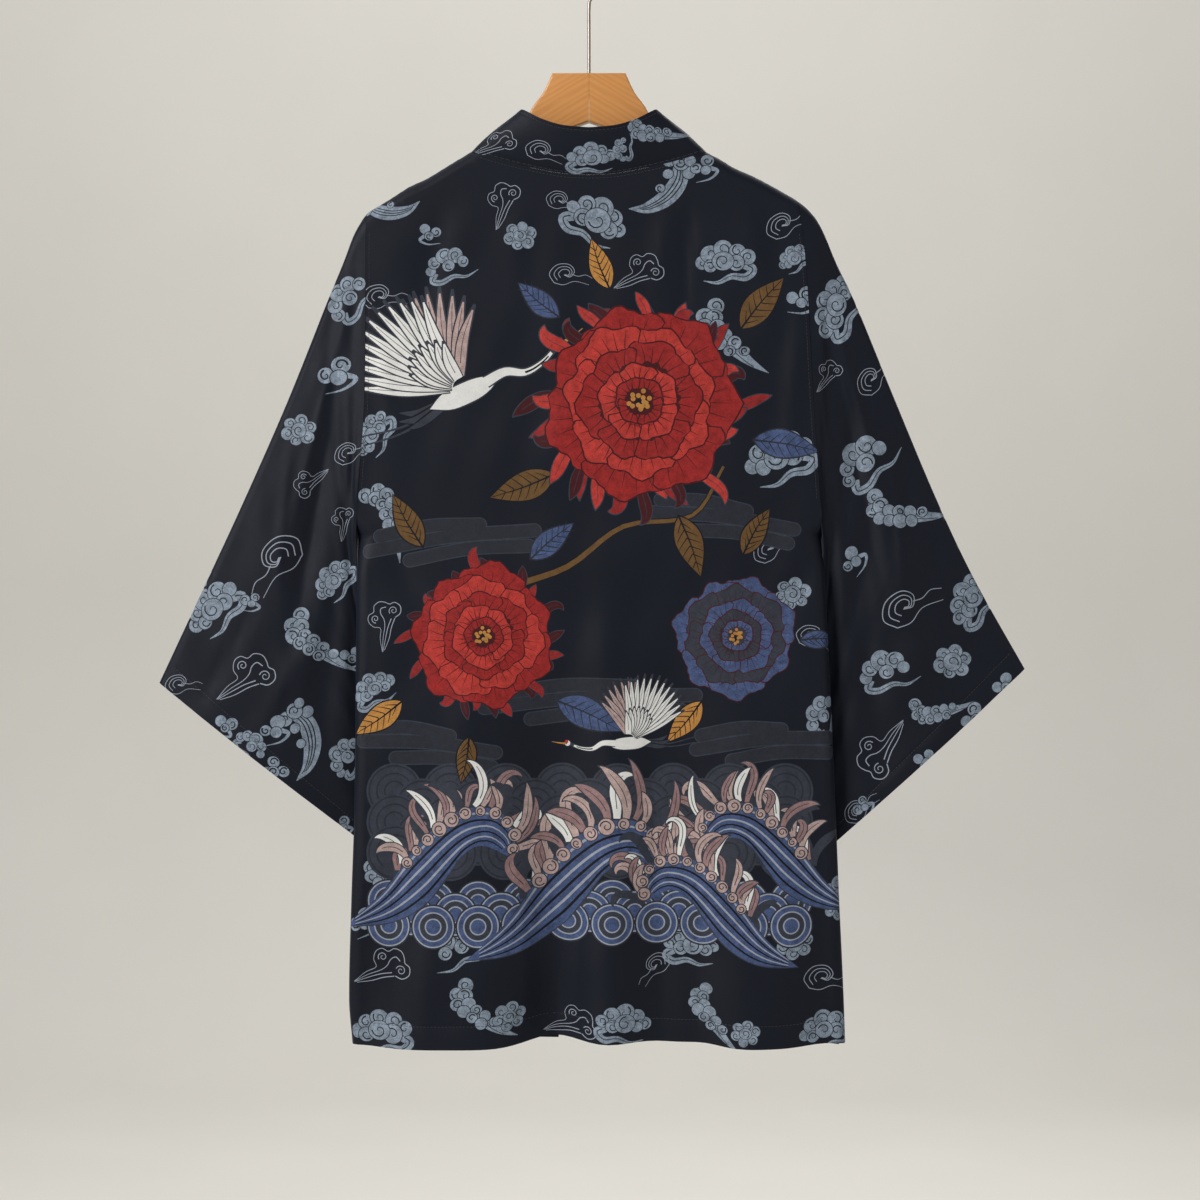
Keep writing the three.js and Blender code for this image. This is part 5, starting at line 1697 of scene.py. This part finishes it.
def stitch_row(surface, outward, line, pitch=3.2, length=2.3, radius=0.22):
    """Stitches along a line of flat places, each a short rounded thread on the surface."""
    line = np.asarray(line, float)
    steps = np.hypot(*np.diff(line, axis=0).T)
    lengths = np.concatenate([[0], np.cumsum(steps)])
    starts = np.arange(pitch / 2, lengths[-1] - pitch / 2, pitch)
    verts, faces = [], []
    shares = np.array([0, 0.2, 0.5, 0.8, 1])
    lift = radius * np.array([-0.6, 0.5, 0.8, 0.5, -0.6])
    sides = 5
    for start in starts:
        along = start + length * (shares - 0.5)
        flat = np.stack([np.interp(along, lengths, line[:, k]) for k in (0, 1)], -1)
        normal = normals_of(surface, flat, outward)
        spine = surface(flat[:, 0], flat[:, 1]) + normal * lift[:, None]
        ahead = np.gradient(spine, axis=0)
        ahead = ahead / np.linalg.norm(ahead, axis=1, keepdims=True)
        aside = np.cross(ahead, normal)
        base = len(verts)
        for i in range(len(shares)):
            for k in range(sides):
                angle = 2 * math.pi * k / sides
                verts.append(spine[i] + radius * (math.cos(angle) * aside[i] + math.sin(angle) * normal[i]))
        faces += tube_faces(len(shares), sides, base)
    return verts, faces


def stitch_piece(name, rows):
    verts, faces = [], []
    for row_verts, row_faces in rows:
        base = len(verts)
        verts.extend(row_verts)
        faces.extend(tuple(base + i for i in face) for face in row_faces)
    piece = new_piece(name, outward_mesh(name, verts, faces))
    finish_piece(piece, THREAD)
    return piece


hem_w = TURN_GAIN - HEM_Z - HEM_WIDTH + 1.5
seam_z = np.linspace(-260, -500, 60)
back_rows = [stitch_row(back_surface, -1, [(-212, hem_w), (225, hem_w)])]
for side in (-1, 1):
    seam_x = edge_x(np.full(len(seam_z), side), seam_z) - 3
    back_rows.append(stitch_row(back_surface, -1, np.stack([side * seam_x, TURN_GAIN - seam_z], -1)))
neck_x = np.linspace(-98, 98, 60)
neck_w = down_of(np.where(neck_x < 0, -1, 1), np.abs(neck_x), neck_z(np.abs(neck_x)) - 3)
back_rows.append(stitch_row(back_surface, -1, np.stack([neck_x, neck_w], -1)))
stitches = {"back": stitch_piece("back_stitches", back_rows)}
for side, word in ((-1, "left"), (1, "right")):
    surface = front_surface_maker(side)
    z = np.linspace(-215, -985, 120)
    seam = np.stack([side * (front_seam_x(z) + 3), TURN_GAIN - z], -1)
    hem = [(side * 76, hem_w), (side * 200, hem_w)]
    rows = [stitch_row(surface, 1, seam), stitch_row(surface, 1, hem)]
    stitches[f"front_{word}"] = stitch_piece(f"front_{word}_stitches", rows)
    sleeve = sleeves[side]
    cuff_s = sleeve.length - HEM_WIDTH + 1.5
    half = float(sleeve.half_turn(np.array(cuff_s / sleeve.length))) - 6
    rows = [stitch_row(sleeve.surface, -side, [(-half, cuff_s), (-8, cuff_s)]),
            stitch_row(sleeve.surface, -side, [(8, cuff_s), (half, cuff_s)])]
    stitches[f"sleeve_{word}"] = stitch_piece(f"sleeve_{word}_stitches", rows)
rows = []
for share in (0.045, 0.93):
    a = share * COLLAR_WIDTH
    ends = [(collar.k[0] + 4, a), (collar.k[-1] - 4, a)]
    rows.append(stitch_row(collar.surface, 1, ends, pitch=4.2, length=3))
stitches["collar"] = stitch_piece("collar_stitches", rows)


# Floor, light and camera


def plain_material(name, colour, roughness, speckle):
    g = Graph(name)
    darker = tuple(0.94 * c for c in colour[:3]) + (1,)
    return g.finish(Base_Color=g.blend(g.noise(speckle, 4), darker, colour), Roughness=roughness)


def stage_sweep():
    """A pale floor that rises in a soft curve far behind the garment."""
    floor_z, depth, radius, half = -1.75, 4.6, 1.2, 9
    profile = [(-9.0, floor_z), (depth - radius, floor_z)]
    for k in range(1, 13):
        angle = math.pi / 2 * k / 12
        rise = radius * (1 - math.cos(angle))
        profile.append((depth - radius + radius * math.sin(angle), floor_z + rise))
    profile.append((depth, 5.0))
    verts = [(x, y, z) for y, z in profile for x in (-half, half)]
    faces = [(2 * i, 2 * i + 1, 2 * i + 3, 2 * i + 2) for i in range(len(profile) - 1)]
    mesh = bpy.data.meshes.new("floor")
    mesh.from_pydata(verts, [], faces)
    mesh.shade_smooth()
    floor = new_piece("floor", mesh)
    mesh.materials.append(plain_material("floor", (0.66, 0.645, 0.61, 1), 0.9, 3))


def area_light(name, place, target, size, power, colour):
    light = bpy.data.lights.new(name, "AREA")
    light.shape = "RECTANGLE"
    light.size, light.size_y = size
    light.energy = power
    light.color = colour
    lamp = bpy.data.objects.new(name, light)
    lamp.location = place
    lamp.rotation_euler = (Vector(target) - Vector(place)).to_track_quat("-Z", "Y").to_euler()
    bpy.context.collection.objects.link(lamp)


stage_sweep()
middle = (0, 0, -0.6)
area_light("key", (-2.3, -2.0, 1.0), middle, (1.4, 1.4), 112, (1.0, 0.985, 0.96))
area_light("fill", (2.4, -2.2, 0.0), middle, (2.4, 2.4), 16, (0.95, 0.97, 1.0))
area_light("rear", (0.8, 2.8, 1.2), middle, (2.6, 2.0), 45, (1.0, 0.99, 0.97))
area_light("backdrop", (0, 1.6, 2.6), (0, 4.4, -0.4), (4.0, 1.6), 90, (1.0, 0.99, 0.97))
world = bpy.data.worlds.new("studio")
world.use_nodes = True
world.node_tree.nodes["Background"].inputs["Color"].default_value = (0.80, 0.79, 0.77, 1)
world.node_tree.nodes["Background"].inputs["Strength"].default_value = 0.36
bpy.context.scene.world = world

camera_data = bpy.data.cameras.new("camera")
camera_data.sensor_width = SENSOR
camera_data.lens = SENSOR * CAMERA_DISTANCE / (PIXEL * PHOTO_WIDTH)
camera_data.clip_end = 60
camera = bpy.data.objects.new("camera", camera_data)
camera.location = (photo_u(PHOTO_CENTRE[0]) * MM, -(CAMERA_DISTANCE + 12) * MM,
                   photo_z(PHOTO_CENTRE[1]) * MM)
camera.rotation_euler = (math.pi / 2, 0, 0)
bpy.context.collection.objects.link(camera)
bpy.context.scene.camera = camera
bpy.context.scene.view_settings.view_transform = "Standard"
